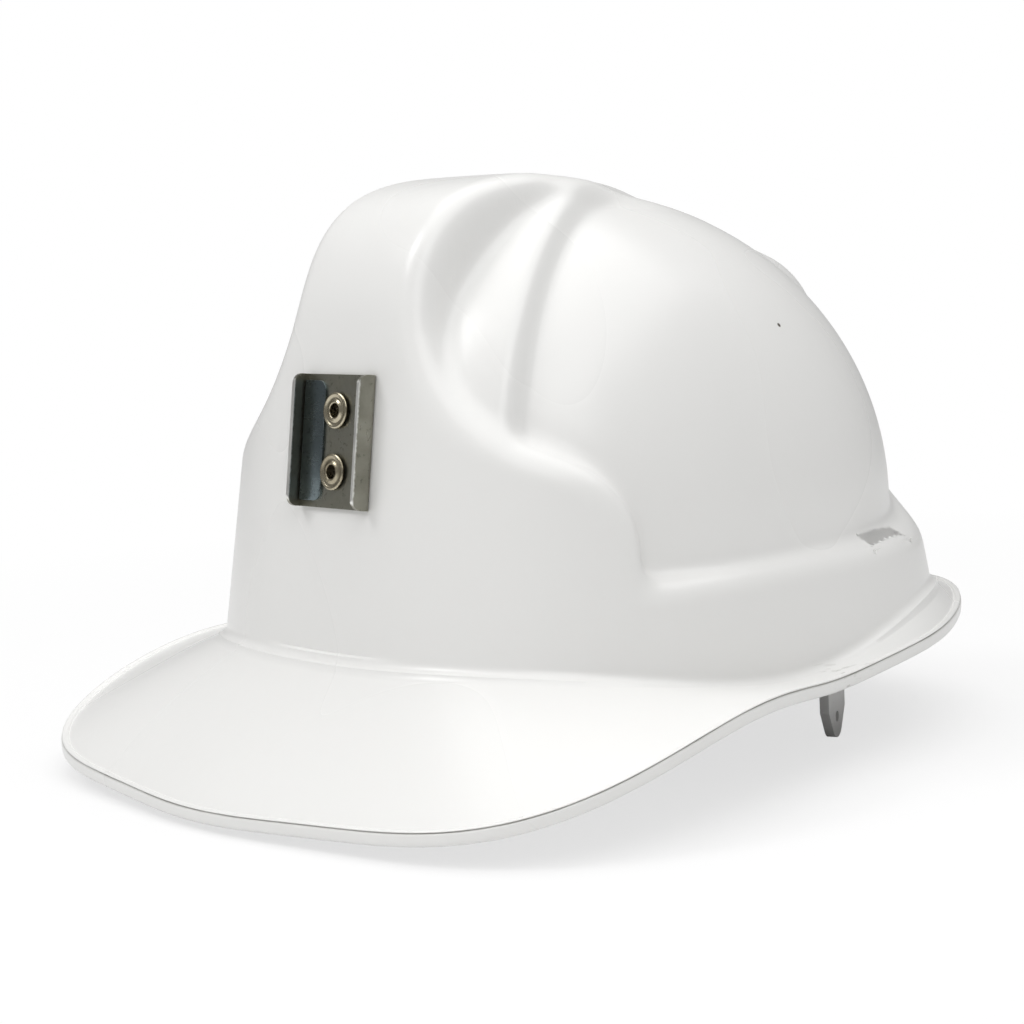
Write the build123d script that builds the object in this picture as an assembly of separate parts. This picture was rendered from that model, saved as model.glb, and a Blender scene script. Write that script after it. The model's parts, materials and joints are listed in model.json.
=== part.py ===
from build123d import *
import os
import numpy as np

# A miner's helmet with a lamp bracket. Lengths are in millimetres.
# The helmet faces -Y, the wearer's left is +X and up is +Z.
# The origin is the centre of the head opening, level with the root of the side brim.

# Shell: the band wall in plan, its lean and its thickness
wall_half_width = 104.0
wall_front = 105.5
wall_rear = 126.8
wall_squareness_share = 2.8
wall_lean_share = 0.135
shell_thickness = 2.4

# Shell: the smooth dome
dome_half_width = 94.0
dome_front = 90.5
dome_rear = 116.8
dome_squareness_share = 2.53
dome_skirt_height = 44.2
dome_skirt_lean_share = 0.033
dome_height = 151.6
dome_roundness_share = 2.0

# Shell: the raised outer layer, which is the lamp panel, the centre rib and the shield
rib_height = 157.7
rib_spring_height = 57.3
rib_roundness_share = 4.6
rib_half_width = 29.7
rib_spread_share = 0.075
rib_spread_height = 110.0
rib_drop = 25.0
rib_drop_start = -36.0
rib_drop_end = 82.5
rib_blend = 60.0
shield_height = 66.6
shield_slope_share = 0.25
shield_end = -53.0
shield_end_tilt_share = 0.2
shield_shoulder = 30.0
shield_foot = 9.0
ledge_height = 34.4
layer_bevel = 8.0
layer_foot = 4.0

# Shell: the middle layer on each side of the rib
plateau_rise = 6.0
plateau_half_width = 26.2
plateau_spread_share = 0.45
plateau_bevel = 6.0
plateau_end = 50.0
plateau_fade = 70.0

# Shell: brim, from the front to the rear in equal turns about the upright axis
peak_length = 50.5
brim_width_shares = (1.0, 0.976, 1.085, 0.905, 0.545, 0.279, 0.196, 0.170, 0.174, 0.297, 0.350)
brim_edge_drop = 28.6
brim_edge_shares = (-1.0, -0.955, -0.822, -0.332, 0.052, -0.024, 0.007, 0.063, 0.192, 0.269, 0.220)
brim_root_rise = 12.6
brim_root_shares = (0.738, 0.794, 0.389, -0.087, 0.738, 1.0, 0.444)
brim_sag_share = 1.15
brim_fillet = 3.2
lip_width = 2.6
lip_height = 4.6
lip_proud = 0.5
ring_points = 240
ring_part = 20
dome_rings = 73
dome_band = 12
ring_crowding_share = 0.35
crown_cap = 2.0

# Accessory slots in the ledge
slot_length = 26.0
slot_width = 5.0
slot_bearing = 33.0
slot_depth = 13.0
slot_wall = 1.5
slot_cover = 3.4
slot_inset = 5.2

# Keys of the cradle and their sockets inside the band
key_bearing = 48.0
key_width = 22.0
key_blade = 2.6
key_blade_height = 13.0
key_base = 15.0
key_shelf = 3.5
key_arm_width = 29.0
key_arm_inset = 9.0
key_arm_reach = 27.0
key_foot_width = 16.0
key_foot_thickness = 2.6
key_foot_drop = 21.0
key_foot_turn = 38.2
key_clearance = 0.3
socket_wall = 1.8

# Cradle straps and crown pad
strap_reach = 97.0
strap_width = 19.0
strap_thickness = 1.2
strap_crown = 112.0
strap_gap = 0.4
strap_roundness_share = 2.2
strap_hem = 3.4
strap_hem_height = 5.0
pad_diameter = 62.0
pad_thickness = 4.0
pad_rim = 1.2
pad_gap = 0.2

# Headband: a four-centred oval around the head
head_half_width = 80.0
head_half_length = 97.0
head_end_radius = 68.0
head_centre = 9.0
band_thickness = 1.8
band_front_height = 30.0
band_side_height = 18.0
band_bottom = -9.0
band_rise_start = -68.0
band_rise_end = 2.0
stud_diameter = 4.6
stud_head = 8.0
stud_head_thickness = 1.2
stud_height = 3.0
height_travel = 4.0
running_gap = 0.3

# Strap lugs of the headband, which hang below the brim
lug_place = 41.0
lug_width = 17.0
lug_tip_radius = 5.0
lug_tip_drop = 24.0
lug_taper = 9.5
lug_hole_rise = 7.0
lug_thickness = 3.2
lug_hole = 3.6

# Brow pad and nape pad
brow_pad_reach = 62.0
brow_pad_thickness = 4.0
brow_pad_margin = 1.0
nape_pad_turn = 26.0
nape_pad_height = 25.0
nape_pad_thickness = 4.0

# Ratchet at the nape: toothed straps, housing, pinion and knob
rack_thickness = 1.8
rack_height = 14.8
rack_start_turn = 19.5
rack_end_turn = 40.0
rack_tip_turn = -9.5
tooth_module = 0.75
pinion_teeth = 12
pinion_width = 2.2
pinion_key = 3.2
tooth_width_share = 0.36
teeth_each_side = 4
arm_end_turn = 29.0
loop_width_turn = 3.0
loop_turns = (32.5, 39.5)
loop_wall = 1.3
housing_turn = 24.0
housing_height = 25.0
wing_end_turn = 36.0
wing_thickness = 1.2
wing_height = 12.0
button_diameter = 3.6
button_head = 5.6
cover_thickness = 1.6
shaft_diameter = 5.0
knob_diameter = 33.0
knob_depth = 8.0
knob_wall = 1.8
knob_grips = 12
knob_grip_radius = 3.0
knob_grip_depth = 1.4
ring_diameter = 25.0
ring_wall = 1.4
ring_height = 1.8
ring_teeth = 24
ring_tooth = 0.7
pawl_hub = 10.0
pawl_thickness = 1.2
pawl_arm_width = 1.6
screw_turn = 20.0
screw_head = 4.4
screw_head_height = 0.9
screw_shank = 2.2
screw_length = 5.0

# Lamp bracket, its spring leaf and its hollow rivets
bracket_width = 34.5
bracket_height = 41.5
bracket_sheet = 1.2
bracket_wall_depth = 6.8
bracket_wall_lean = 8.0
bracket_corner = 3.6
bracket_middle = 77.0
bracket_bend = 1.6
panel_cut = 1.5
panel_blend = 1.0
leaf_width = 10.0
leaf_height = 37.5
leaf_sheet = 0.7
leaf_lift = 1.0
leaf_bend_width = 3.0
leaf_ear = 10.4
leaf_corner = 4.0
rivet_spacing = 19.0
rivet_bore = 4.4
rivet_barrel = 5.2
rivet_lip = 5.8
rivet_flange = 11.3
rivet_flange_edge = 0.5
rivet_rise = 0.9
rivet_curl = 8.0
rivet_curl_height = 0.8
rivet_clearance = 0.1
washer_diameter = 12.5
washer_thickness = 0.8
washer_gap = 0.25

# Cord clip at the back of the dome
clip_height = 66.0
clip_width = 16.0
clip_sheet = 1.8
clip_end = 8.0
clip_bore = 9.0
clip_loop_height = 14.0
clip_mouth_turn = 70.0

os.makedirs("parts", exist_ok=True)


# Helpers for the shell's form
def smooth_max(a, b, blend):
    share = np.clip(0.5 + 0.5 * (a - b) / blend, 0, 1)
    return b + share * (a - b) + blend * share * (1 - share)


def smooth_min(a, b, blend):
    return -smooth_max(-a, -b, blend)


def ramp(value, start, end):
    share = np.clip((value - start) / (end - start), 0, 1)
    return share * share * (3 - 2 * share)


def plan_share(x, y, half_width, front, rear, squareness):
    """How far out a point lies in plan, as a share of an egg-shaped outline."""
    length = np.where(y < 0, front, rear)
    sides = (np.abs(x) / half_width) ** squareness + (np.abs(y) / length) ** squareness
    return sides ** (1 / squareness)


def even_curve(values, turn):
    """A smooth curve through values at equal turns from the front to the rear."""
    terms = np.arange(len(values))
    steps = np.pi * terms / (len(values) - 1)
    weights = np.linalg.solve(np.cos(np.outer(steps, terms)), np.array(values))
    return np.cos(np.multiply.outer(turn, terms)) @ weights


def dome_depth(x, y, z, rise=0.0):
    """How deep a point lies inside the smooth dome, raised by some height."""
    lean = 1 - dome_skirt_lean_share * np.clip(z, 0, dome_skirt_height) / wall_half_width
    plan = plan_share(x, y, (dome_half_width + rise) * lean, (dome_front + rise) * lean,
                      (dome_rear + rise) * lean, dome_squareness_share)
    up = np.maximum(z - dome_skirt_height, 0) / (dome_height + rise - dome_skirt_height)
    round_share = dome_roundness_share
    return (1 - (plan ** round_share + up ** round_share) ** (1 / round_share)) * dome_half_width


def band_depth(x, y, z):
    """How deep a point lies inside the band wall and the outer layer above it."""
    lean = 1 - wall_lean_share * z / wall_half_width
    plan = plan_share(x, y, wall_half_width * lean, wall_front * lean,
                      wall_rear * lean, wall_squareness_share)
    top = rib_height - rib_drop * ramp(y, rib_drop_start, rib_drop_end)
    up = np.maximum(z - rib_spring_height, 0) / (top - rib_spring_height)
    round_share = rib_roundness_share
    return (1 - (plan ** round_share + up ** round_share) ** (1 / round_share)) * wall_half_width


def reach_along(depth, start, way):
    """Distance from points inside a form to its surface, each along its own way."""
    low = np.zeros(way.shape[:-1])
    high = low + 2 * wall_half_width
    for _ in range(30):
        middle = (low + high) / 2
        point = start + way * middle[..., None]
        inside = depth(point[..., 0], point[..., 1], point[..., 2]) > 0
        low = np.where(inside, middle, low)
        high = np.where(inside, high, middle)
    return low


def surface_normal(depth, point):
    step = shell_thickness / 6
    slopes = []
    for move in np.eye(3) * step:
        ahead = point + move
        behind = point - move
        slopes.append(depth(behind[..., 0], behind[..., 1], behind[..., 2])
                      - depth(ahead[..., 0], ahead[..., 1], ahead[..., 2]))
    normal = np.stack(slopes, -1)
    return normal / np.linalg.norm(normal, axis=-1, keepdims=True)


def surface_point(depth, start, way):
    way = np.array(way) / np.linalg.norm(way)
    return np.array(start) + way * reach_along(depth, np.array(start), way[None, :])[0]


def layer_reach(x, y, z):
    """How far a point lies within the outer layer's edge, a rib that widens into a shield."""
    rib = rib_half_width + rib_spread_share * np.maximum(rib_spread_height - z, 0) - np.abs(x)
    line = shield_height - shield_slope_share * (y - shield_end) - z
    end = shield_end + shield_end_tilt_share * (z - ledge_height) - y
    shield = smooth_max(smooth_min(line, end, shield_shoulder), ledge_height - z, shield_foot)
    return smooth_max(rib, shield, rib_blend)


def layered_depth(x, y, z):
    """How deep a point lies inside the dome with its raised layers."""
    smooth = dome_depth(x, y, z)
    fade = ramp(y, plateau_end, plateau_end - plateau_fade)
    plateau = dome_depth(x, y, z, plateau_rise) - (1 - fade) * plateau_rise
    plateau_reach = plateau_half_width - plateau_spread_share * y - np.abs(x)
    plateau = smooth_min(plateau, plateau_reach, plateau_bevel)
    layer = smooth_min(band_depth(x, y, z), layer_reach(x, y, z), layer_bevel)
    return smooth_max(smooth_max(smooth, plateau, layer_foot), layer, layer_foot)


# The flat seat of the lamp bracket is a plane a little inside the raised panel
panel_touch = surface_point(layered_depth, (0.0, 0.0, bracket_middle), (0.0, -1.0, 0.0))
panel_normal = surface_normal(layered_depth, panel_touch)
panel_point = panel_touch - panel_cut * panel_normal


def shell_depth(x, y, z):
    """How deep a point lies inside the shell's outer surface, above the brim."""
    flat = ((panel_point[0] - x) * panel_normal[0] + (panel_point[1] - y) * panel_normal[1]
            + (panel_point[2] - z) * panel_normal[2])
    return smooth_min(layered_depth(x, y, z), flat, panel_blend)


def wall_radius(angle, height):
    lean = 1 - wall_lean_share * height / wall_half_width
    return lean / plan_share(np.cos(angle), np.sin(angle), wall_half_width, wall_front,
                             wall_rear, wall_squareness_share)


# Rings of points around the shell, from +X through the rear
ring_angle = np.arange(ring_points) * 2 * np.pi / ring_points
front_turn = np.arccos(np.clip(-np.sin(ring_angle), -1, 1))
brim_width = peak_length * even_curve(brim_width_shares, front_turn)
edge_height = brim_edge_drop * even_curve(brim_edge_shares, front_turn)
root_height = brim_root_rise * even_curve(brim_root_shares, front_turn)
root_radius = wall_radius(ring_angle, root_height + brim_fillet)
edge_radius = wall_radius(ring_angle, 0) + brim_width


def ring_at(radius, height):
    return np.stack([radius * np.cos(ring_angle), radius * np.sin(ring_angle), height + 0 * radius], -1)


def brim_place(share):
    """Radius and height of the brim's top, from its root fillet to its lip."""
    start = root_radius + brim_fillet
    radius = start + (edge_radius - lip_width - start) * share
    out = (radius - root_radius) / (edge_radius - root_radius)
    return radius, root_height + (edge_height - root_height) * out ** brim_sag_share


def root_fillet(radius, turns):
    rings = []
    for turn in np.radians(turns):
        rings.append(ring_at(root_radius + brim_fillet - radius * np.cos(turn),
                             root_height + brim_fillet - radius * np.sin(turn)))
    return rings


def ring_wire(ring):
    """A closed smooth ring in equal parts, which share their slopes where they meet."""
    near = np.roll(ring, -1, 0) - np.roll(ring, 1, 0)
    far = np.roll(ring, -2, 0) - np.roll(ring, 2, 0)
    slopes = (8 * near - far) / 12 * ring_part
    marks = list(np.linspace(0, 1, ring_part + 1))
    parts = []
    for first in range(0, ring_points, ring_part):
        places = np.arange(first, first + ring_part + 1) % ring_points
        points = [Vector(*map(float, ring[place])) for place in places]
        ends = [Vector(*map(float, slopes[places[end]])) for end in (0, -1)]
        parts.append(Edge.make_spline(points, tangents=ends, parameters=marks, scale=False))
    return Wire(parts)


def skin(rings):
    """Faces through rings that are evenly spaced."""
    return Shell.make_loft([ring_wire(ring) for ring in rings]).faces()


def dome_skin(rings):
    """The dome in several bands of rings, and a small flat cap on its crown."""
    faces = []
    for first in range(0, dome_rings - 1, dome_band):
        faces += skin(rings[first:first + dome_band + 1])
    return faces + [Face(ring_wire(rings[-1]))]


def lip_rings():
    """The rolled edge of the brim, a flattened ring round its rim."""
    radius, height = brim_place(1)
    half = lip_height / 2
    rings = []
    for turn in np.radians((120, 95, 65, 35, 10, -10, -35, -65, -95, -125)):
        out = np.sign(np.cos(turn)) * abs(np.cos(turn)) ** 0.5
        up = np.sign(np.sin(turn)) * abs(np.sin(turn)) ** 0.6
        rings.append(ring_at(radius + lip_width * (1 + out) / 2, height + lip_proud - half + half * up))
    return rings


def shell_body():
    foot = np.arctan2(root_height + brim_fillet, root_radius)
    share = np.linspace(0, 1, dome_rings)[:, None]
    share = share * (1 - ring_crowding_share * (1 - share))
    rise = foot + share * (np.arctan2(rib_height, crown_cap) - foot)
    way = np.stack([np.cos(rise) * np.cos(ring_angle), np.cos(rise) * np.sin(ring_angle), np.sin(rise)], -1)
    outer = way * reach_along(shell_depth, np.zeros(3), way)[..., None]
    inner = outer - shell_thickness * surface_normal(shell_depth, outer)
    for rings in (outer, inner):
        rings[-1, :, 2] = rings[-1, :, 2].mean()
    brim_shares = (0, 0.25, 0.5, 0.75, 1)
    brim_top = [ring_at(*brim_place(share)) for share in brim_shares]
    brim_under = []
    for share in brim_shares[::-1]:
        radius, height = brim_place(share)
        brim_under.append(ring_at(radius, height - shell_thickness))
    faces = dome_skin(outer)
    faces += skin([outer[0]] + root_fillet(brim_fillet, (30, 60)) + [brim_top[0]])
    faces += skin(brim_top)
    faces += skin([brim_top[-1]] + lip_rings() + [brim_under[0]])
    faces += skin(brim_under)
    faces += skin([brim_under[-1]] + root_fillet(brim_fillet + shell_thickness, (60, 30)) + [inner[0]])
    faces += dome_skin(inner)
    return Solid(Shell(faces))


# Places on the shell
def plane_on(depth, start, way):
    """Plane that touches a form where a line from inside leaves it, facing out, with X level."""
    point = surface_point(depth, start, way)
    normal = surface_normal(depth, point)
    return Plane(origin=tuple(map(float, point)), x_dir=(-float(normal[1]), float(normal[0]), 0),
                 z_dir=tuple(map(float, normal)))


def bearing_way(bearing):
    return np.array([np.cos(np.radians(bearing)), np.sin(np.radians(bearing)), 0.0])


def block(plane, across, up, out):
    """A box in a plane, from three pairs of limits: across, up and out."""
    size = Box(across[1] - across[0], up[1] - up[0], out[1] - out[0])
    middle = Pos((across[0] + across[1]) / 2, (up[0] + up[1]) / 2, (out[0] + out[1]) / 2)
    return plane * middle * size


def both_ways(half):
    return (-half, half)


def corner_bearing(end, side):
    """Bearing of a corner from the head's centre: end -1 front or 1 rear, side 1 left or -1 right."""
    return end * (90 - side * (90 - key_bearing))


corners = {"front_left": (-1, 1), "front_right": (-1, -1), "rear_left": (1, 1), "rear_right": (1, -1)}
lamp_plane = Plane(origin=tuple(map(float, panel_point)), x_dir=(1, 0, 0), z_dir=tuple(map(float, panel_normal)))
clip_plane = plane_on(shell_depth, (0.0, 0.0, clip_height), (0.0, 1.0, 0.0))
key_planes = {}
for corner, (end, side) in corners.items():
    key_planes[corner] = plane_on(band_depth, (0.0, head_centre, key_base), bearing_way(corner_bearing(end, side)))
blade_out = (-shell_thickness - key_clearance - key_blade, -shell_thickness - key_clearance)
slot_planes = []
for side in (1, -1):
    wall = plane_on(band_depth, (0.0, 0.0, ledge_height), bearing_way(90 - side * (90 - slot_bearing)))
    inward = Vector(wall.z_dir.X, wall.z_dir.Y, 0).normalized() * slot_inset
    slot_planes.append(Plane(origin=wall.origin - inward, x_dir=wall.x_dir, z_dir=(0, 0, 1)))


def rivet_places(plane):
    return [plane * Pos(0, side * rivet_spacing / 2, 0) for side in (-1, 1)]


def shell():
    added = []
    cut = []
    for plane in key_planes.values():
        half = key_width / 2 + key_clearance
        top = key_blade_height + key_clearance
        out = (blade_out[0] - key_clearance, blade_out[1] + key_clearance)
        added.append(block(plane, both_ways(half + socket_wall), (key_shelf / 2, top + socket_wall),
                           (out[0] - socket_wall, -0.85 * shell_thickness)))
        cut.append(block(plane, both_ways(half), (-2 * key_shelf, top), out))
    for plane in slot_planes:
        added.append(block(plane, both_ways(slot_length / 2 + slot_wall), both_ways(slot_width / 2 + slot_wall),
                           (-slot_depth, -slot_cover)))
        cut.append(block(plane, both_ways(slot_length / 2), both_ways(slot_width / 2),
                         (-2 * slot_depth, slot_depth / 2)))
    for place in rivet_places(lamp_plane) + rivet_places(clip_plane):
        cut.append(place * Cylinder(rivet_barrel / 2 + rivet_clearance, 4 * shell_thickness))
    body = shell_body()
    for piece in added:
        body = body.fuse(piece)
    for piece in cut:
        body = body.cut(piece)
    return Solid(body.solids()[0].wrapped)


# Lamp bracket, spring leaf and hollow rivets
def lamp_bracket():
    lean = np.radians(bracket_wall_lean)
    half = bracket_width / 2
    tip = (half - bracket_wall_depth * np.tan(lean), bracket_wall_depth)
    inner_tip = (tip[0] - bracket_sheet * np.cos(lean), tip[1] - bracket_sheet * np.sin(lean))
    inner_foot = (half - bracket_sheet * (1 + np.sin(lean)) / np.cos(lean), bracket_sheet)
    right = [(0, 0), (half, 0), tip, inner_tip, inner_foot, (0, bracket_sheet)]
    left = [(-across, out) for across, out in right[-2:0:-1]]
    section = make_face(Polyline(*(right[1:-1] + left), close=True))
    bends = section.vertices().filter_by(lambda corner: corner.Y == 0)
    section = fillet(bends, bracket_bend)
    body = Rot(90, 0, 0) * extrude(section, bracket_height / 2, both=True)
    side = Rectangle(bracket_height, 2 * bracket_wall_depth)
    side = fillet(side.vertices(), bracket_corner)
    body &= extrude(Plane.YZ * side, bracket_width, both=True)
    for place in rivet_places(Plane.XY):
        body -= place * Cylinder(rivet_barrel / 2 + rivet_clearance, 4 * bracket_sheet)
    return lamp_plane * body


def bracket_spring():
    """A flat leaf under the rivets that springs up beside the bracket's right wall."""
    right = -leaf_ear / 2
    left = right - leaf_width
    bend = right - leaf_bend_width
    lower = [(right, 0), (bend, 0), (left, leaf_lift)]
    upper = [(left, leaf_lift + leaf_sheet), (bend, leaf_sheet), (right, leaf_sheet)]
    section = make_face(Polyline(*(lower + upper), close=True))
    leaf = Rot(90, 0, 0) * extrude(section, leaf_height / 2, both=True)
    outline = Rectangle(leaf_width, leaf_height, align=(Align.MIN, Align.CENTER))
    outline = fillet(outline.vertices().sort_by(Axis.X)[:2], leaf_corner)
    leaf &= Pos(left, 0, 0) * extrude(outline, bracket_wall_depth, both=True)
    for place in rivet_places(Plane.XY):
        ear = Cylinder(leaf_ear / 2, leaf_sheet) + Pos(-leaf_ear / 4, 0, 0) * Box(leaf_ear / 2, leaf_ear, leaf_sheet)
        leaf += place * Pos(0, 0, leaf_sheet / 2) * ear
    for place in rivet_places(Plane.XY):
        leaf -= place * Cylinder(rivet_barrel / 2 + rivet_clearance, 4 * leaf_sheet)
    return lamp_plane * Pos(0, 0, bracket_sheet) * leaf


def hollow_rivet(seat, back):
    """A hollow rivet along Z, its flange on a seat and its curled end behind a washer."""
    bore = rivet_bore / 2
    barrel = rivet_barrel / 2
    flange = [(rivet_flange / 2, seat), (rivet_flange / 2, seat + rivet_flange_edge),
              (rivet_lip / 2 + rivet_flange_edge, seat + 0.7 * rivet_rise), (rivet_lip / 2, seat + rivet_rise),
              (bore, seat + rivet_rise)]
    curl = [(bore, back - rivet_curl_height), (rivet_curl / 2, back - 0.7 * rivet_curl_height),
            (rivet_curl / 2, back), (barrel, back), (barrel, seat)]
    return revolve(Plane.XZ * make_face(Polyline(*(flange + curl), close=True)), Axis.Z)


def rivets(plane, seat):
    back = -shell_thickness - washer_gap - washer_thickness
    return Compound([place * hollow_rivet(seat, back) for place in rivet_places(plane)])


def rivet_washers():
    washer = Cylinder(washer_diameter / 2, washer_thickness) - Cylinder(
        rivet_barrel / 2 + rivet_clearance, 2 * washer_thickness)
    middle = Pos(0, 0, -shell_thickness - washer_gap - washer_thickness / 2)
    return Compound([place * middle * washer for place in rivet_places(lamp_plane) + rivet_places(clip_plane)])


def cord_clip():
    """A plate on the back of the shell with an open loop that takes the lamp's cord."""
    top = rivet_spacing / 2 + clip_end
    low = -top - clip_loop_height
    body = block(Plane.XY, both_ways(clip_width / 2), (low, top), (0, clip_sheet))
    upright = body.edges().filter_by(Axis.Z)
    body = fillet(upright, clip_width / 4)
    radius = clip_bore / 2 + clip_sheet
    middle = (0, clip_sheet + clip_bore / 2)
    loop = Circle(radius) - Circle(clip_bore / 2)
    half_mouth = radius * np.sin(np.radians(clip_mouth_turn / 2))
    loop -= Pos(0, radius) * Rectangle(2 * half_mouth, 2 * radius, align=(Align.CENTER, Align.MIN))
    loop -= Rectangle(2 * half_mouth, radius, align=(Align.CENTER, Align.MIN))
    section = Pos(*middle) * loop + Pos(0, clip_sheet / 2) * Rectangle(clip_bore, clip_sheet)
    hook = Rot(90, 0, 0) * extrude(section, clip_loop_height)
    body += Pos(0, -top, 0) * hook
    for place in rivet_places(Plane.XY):
        body -= place * Cylinder(rivet_barrel / 2 + rivet_clearance, 4 * clip_sheet)
    return clip_plane * body


# Headband: an oval of four arcs
end_offset = head_half_length - head_end_radius
side_radius = (end_offset ** 2 + head_half_width ** 2 - head_end_radius ** 2) / (
    2 * (head_half_width - head_end_radius))
side_offset = side_radius - head_half_width
rear_axis = head_centre + end_offset
front_axis = head_centre - end_offset
band_out = band_thickness / 2


def oval(grow):
    """The headband's oval, grown outward, around the head's centre."""
    turn = float(np.degrees(np.arctan2(end_offset, side_offset)))
    sides = head_end_radius + grow
    edges = []
    for sign in (1, -1):
        edges.append(CenterArc((0, sign * end_offset), sides, 90 * (1 - sign) + turn, 180 - 2 * turn))
        edges.append(CenterArc((-sign * side_offset, 0), side_radius + grow, 90 * (1 - sign) - turn, 2 * turn))
    return Pos(0, head_centre) * make_face(edges)


def band_plane(end, side, turn):
    """Upright plane on the band's outer face, at a turn from the side toward the front or rear."""
    angle = np.radians(turn)
    normal = np.array([side * np.cos(angle), end * np.sin(angle)])
    point = np.array([-side * side_offset, head_centre]) + normal * (side_radius + band_out)
    return Plane(origin=(float(point[0]), float(point[1]), 0), x_dir=(-float(normal[1]), float(normal[0]), 0),
                 z_dir=(float(normal[0]), float(normal[1]), 0))


def sector(inner, outer, turns, axis_y=rear_axis):
    """Part of a ring about an upright axis, between two turns from the rear toward the left."""
    start = 90 - turns[1]
    size = turns[1] - turns[0]
    arcs = [CenterArc((0, 0), inner, start, size), CenterArc((0, 0), outer, start, size)]
    ends = [Line(arcs[0] @ place, arcs[1] @ place) for place in (0, 1)]
    return Pos(0, axis_y) * make_face(arcs + ends)


def lifted(face, heights):
    return Pos(0, 0, heights[0]) * extrude(face, heights[1] - heights[0])


def turned(turn):
    """Place at a turn about the rear axis, with Z pointing out from it."""
    return Plane(origin=(0, rear_axis, 0), x_dir=(-1, 0, 0), z_dir=(0, 1, 0)).location * Rot(0, -turn, 0)


def front_profile(margin):
    """Side view that is tall at the brow and lower along the sides."""
    low = band_bottom - margin
    tall = band_bottom + band_front_height + margin
    short = band_bottom + band_side_height + margin
    reach = 2 * head_half_length
    rise = Spline((band_rise_start, tall), (band_rise_end, short), tangents=[(1, 0), (1, 0)])
    edges = [rise, Line((band_rise_end, short), (reach, short)), Line((reach, short), (reach, low)),
             Line((reach, low), (-reach, low)), Line((-reach, low), (-reach, tall)),
             Line((-reach, tall), (band_rise_start, tall))]
    return extrude(Plane.YZ * make_face(edges), reach, both=True)


def strap_lug(side):
    """Tongue that hangs from the band below the brim and takes a strap's snap."""
    turn = float(np.degrees(np.arcsin(lug_place / (side_radius + band_out))))
    plane = band_plane(1, side, turn)
    half = lug_width / 2
    tip = band_bottom - lug_tip_drop
    top = band_bottom + band_side_height / 2
    shoulder = tip + lug_taper
    outline = make_hull((Polyline((-half, shoulder), (-half, top), (half, top), (half, shoulder)).edges()
                         + [Pos(0, tip + lug_tip_radius) * CenterArc((0, 0), lug_tip_radius, 0, 360).edge()]))
    body = extrude(outline, lug_thickness)
    body -= Pos(0, tip + lug_hole_rise, 0) * Cylinder(lug_hole / 2, 4 * lug_thickness)
    return plane * Pos(0, 0, -band_out) * body


foot_out = (running_gap, running_gap + key_foot_thickness)
stud_out = foot_out[1] + running_gap


def band_stud(corner):
    place = band_plane(*corners[corner], key_foot_turn) * Pos(0, stud_height, 0)
    shank_height = stud_out + band_out
    shank = Pos(0, 0, shank_height / 2 - band_out) * Cylinder(stud_diameter / 2, shank_height)
    head = Pos(0, 0, stud_out + stud_head_thickness / 2) * Cylinder(stud_head / 2, stud_head_thickness)
    return place * (shank + head)


rack_radius = head_end_radius + band_out + running_gap + rack_thickness / 2
rack_faces = (rack_radius - rack_thickness / 2, rack_radius + rack_thickness / 2)
channel_faces = (rack_faces[0] - running_gap, rack_faces[1] + running_gap)
channel_half = rack_height / 2 + running_gap
band_inner = head_end_radius - band_out


def rack_loop(side, turn):
    """A loop on the end of the band that the toothed strap slides through."""
    turns = (side * turn - loop_width_turn / 2, side * turn + loop_width_turn / 2)
    half = channel_half + loop_wall
    outer = channel_faces[1] + loop_wall
    loop = lifted(sector(band_inner + band_out, outer, turns), both_ways(half))
    return loop - lifted(sector(channel_faces[0], channel_faces[1], (turns[0] - 1, turns[1] + 1)),
                         both_ways(channel_half))


def wing_button(side):
    place = turned(side * (arm_end_turn + wing_end_turn) / 2)
    shank = Pos(0, 0, band_inner - wing_thickness / 2) * Cylinder(button_diameter / 2, 2 * wing_thickness)
    head_height = wing_thickness / 2
    seat = band_inner - wing_thickness - running_gap
    head = Pos(0, 0, seat - head_height / 2) * Cylinder(button_head / 2, head_height)
    return place * (shank + head)


def headband():
    reach = 2 * head_half_length
    ring = oval(band_out) - oval(-band_out)
    body = lifted(ring, (band_bottom, band_bottom + band_front_height)) & front_profile(0)
    body -= lifted(sector(band_inner / 2, 2 * head_end_radius, both_ways(arm_end_turn)), both_ways(reach))
    added = [strap_lug(side) for side in (1, -1)]
    added += [band_stud(corner) for corner in corners]
    for side in (1, -1):
        added += [rack_loop(side, turn) for turn in loop_turns]
        added.append(wing_button(side))
    return body + added


def brow_pad():
    """Soft pad on the inside of the band's brow."""
    ring = oval(-band_out) - oval(-band_out - brow_pad_thickness)
    height = band_front_height + 2 * brow_pad_margin
    front = Pos(0, head_centre - brow_pad_reach / 2 - head_half_length) * Rectangle(
        4 * head_half_length, 2 * head_half_length)
    body = lifted(ring & front, (band_bottom - brow_pad_margin, band_bottom - brow_pad_margin + height))
    return body & front_profile(brow_pad_margin)


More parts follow.
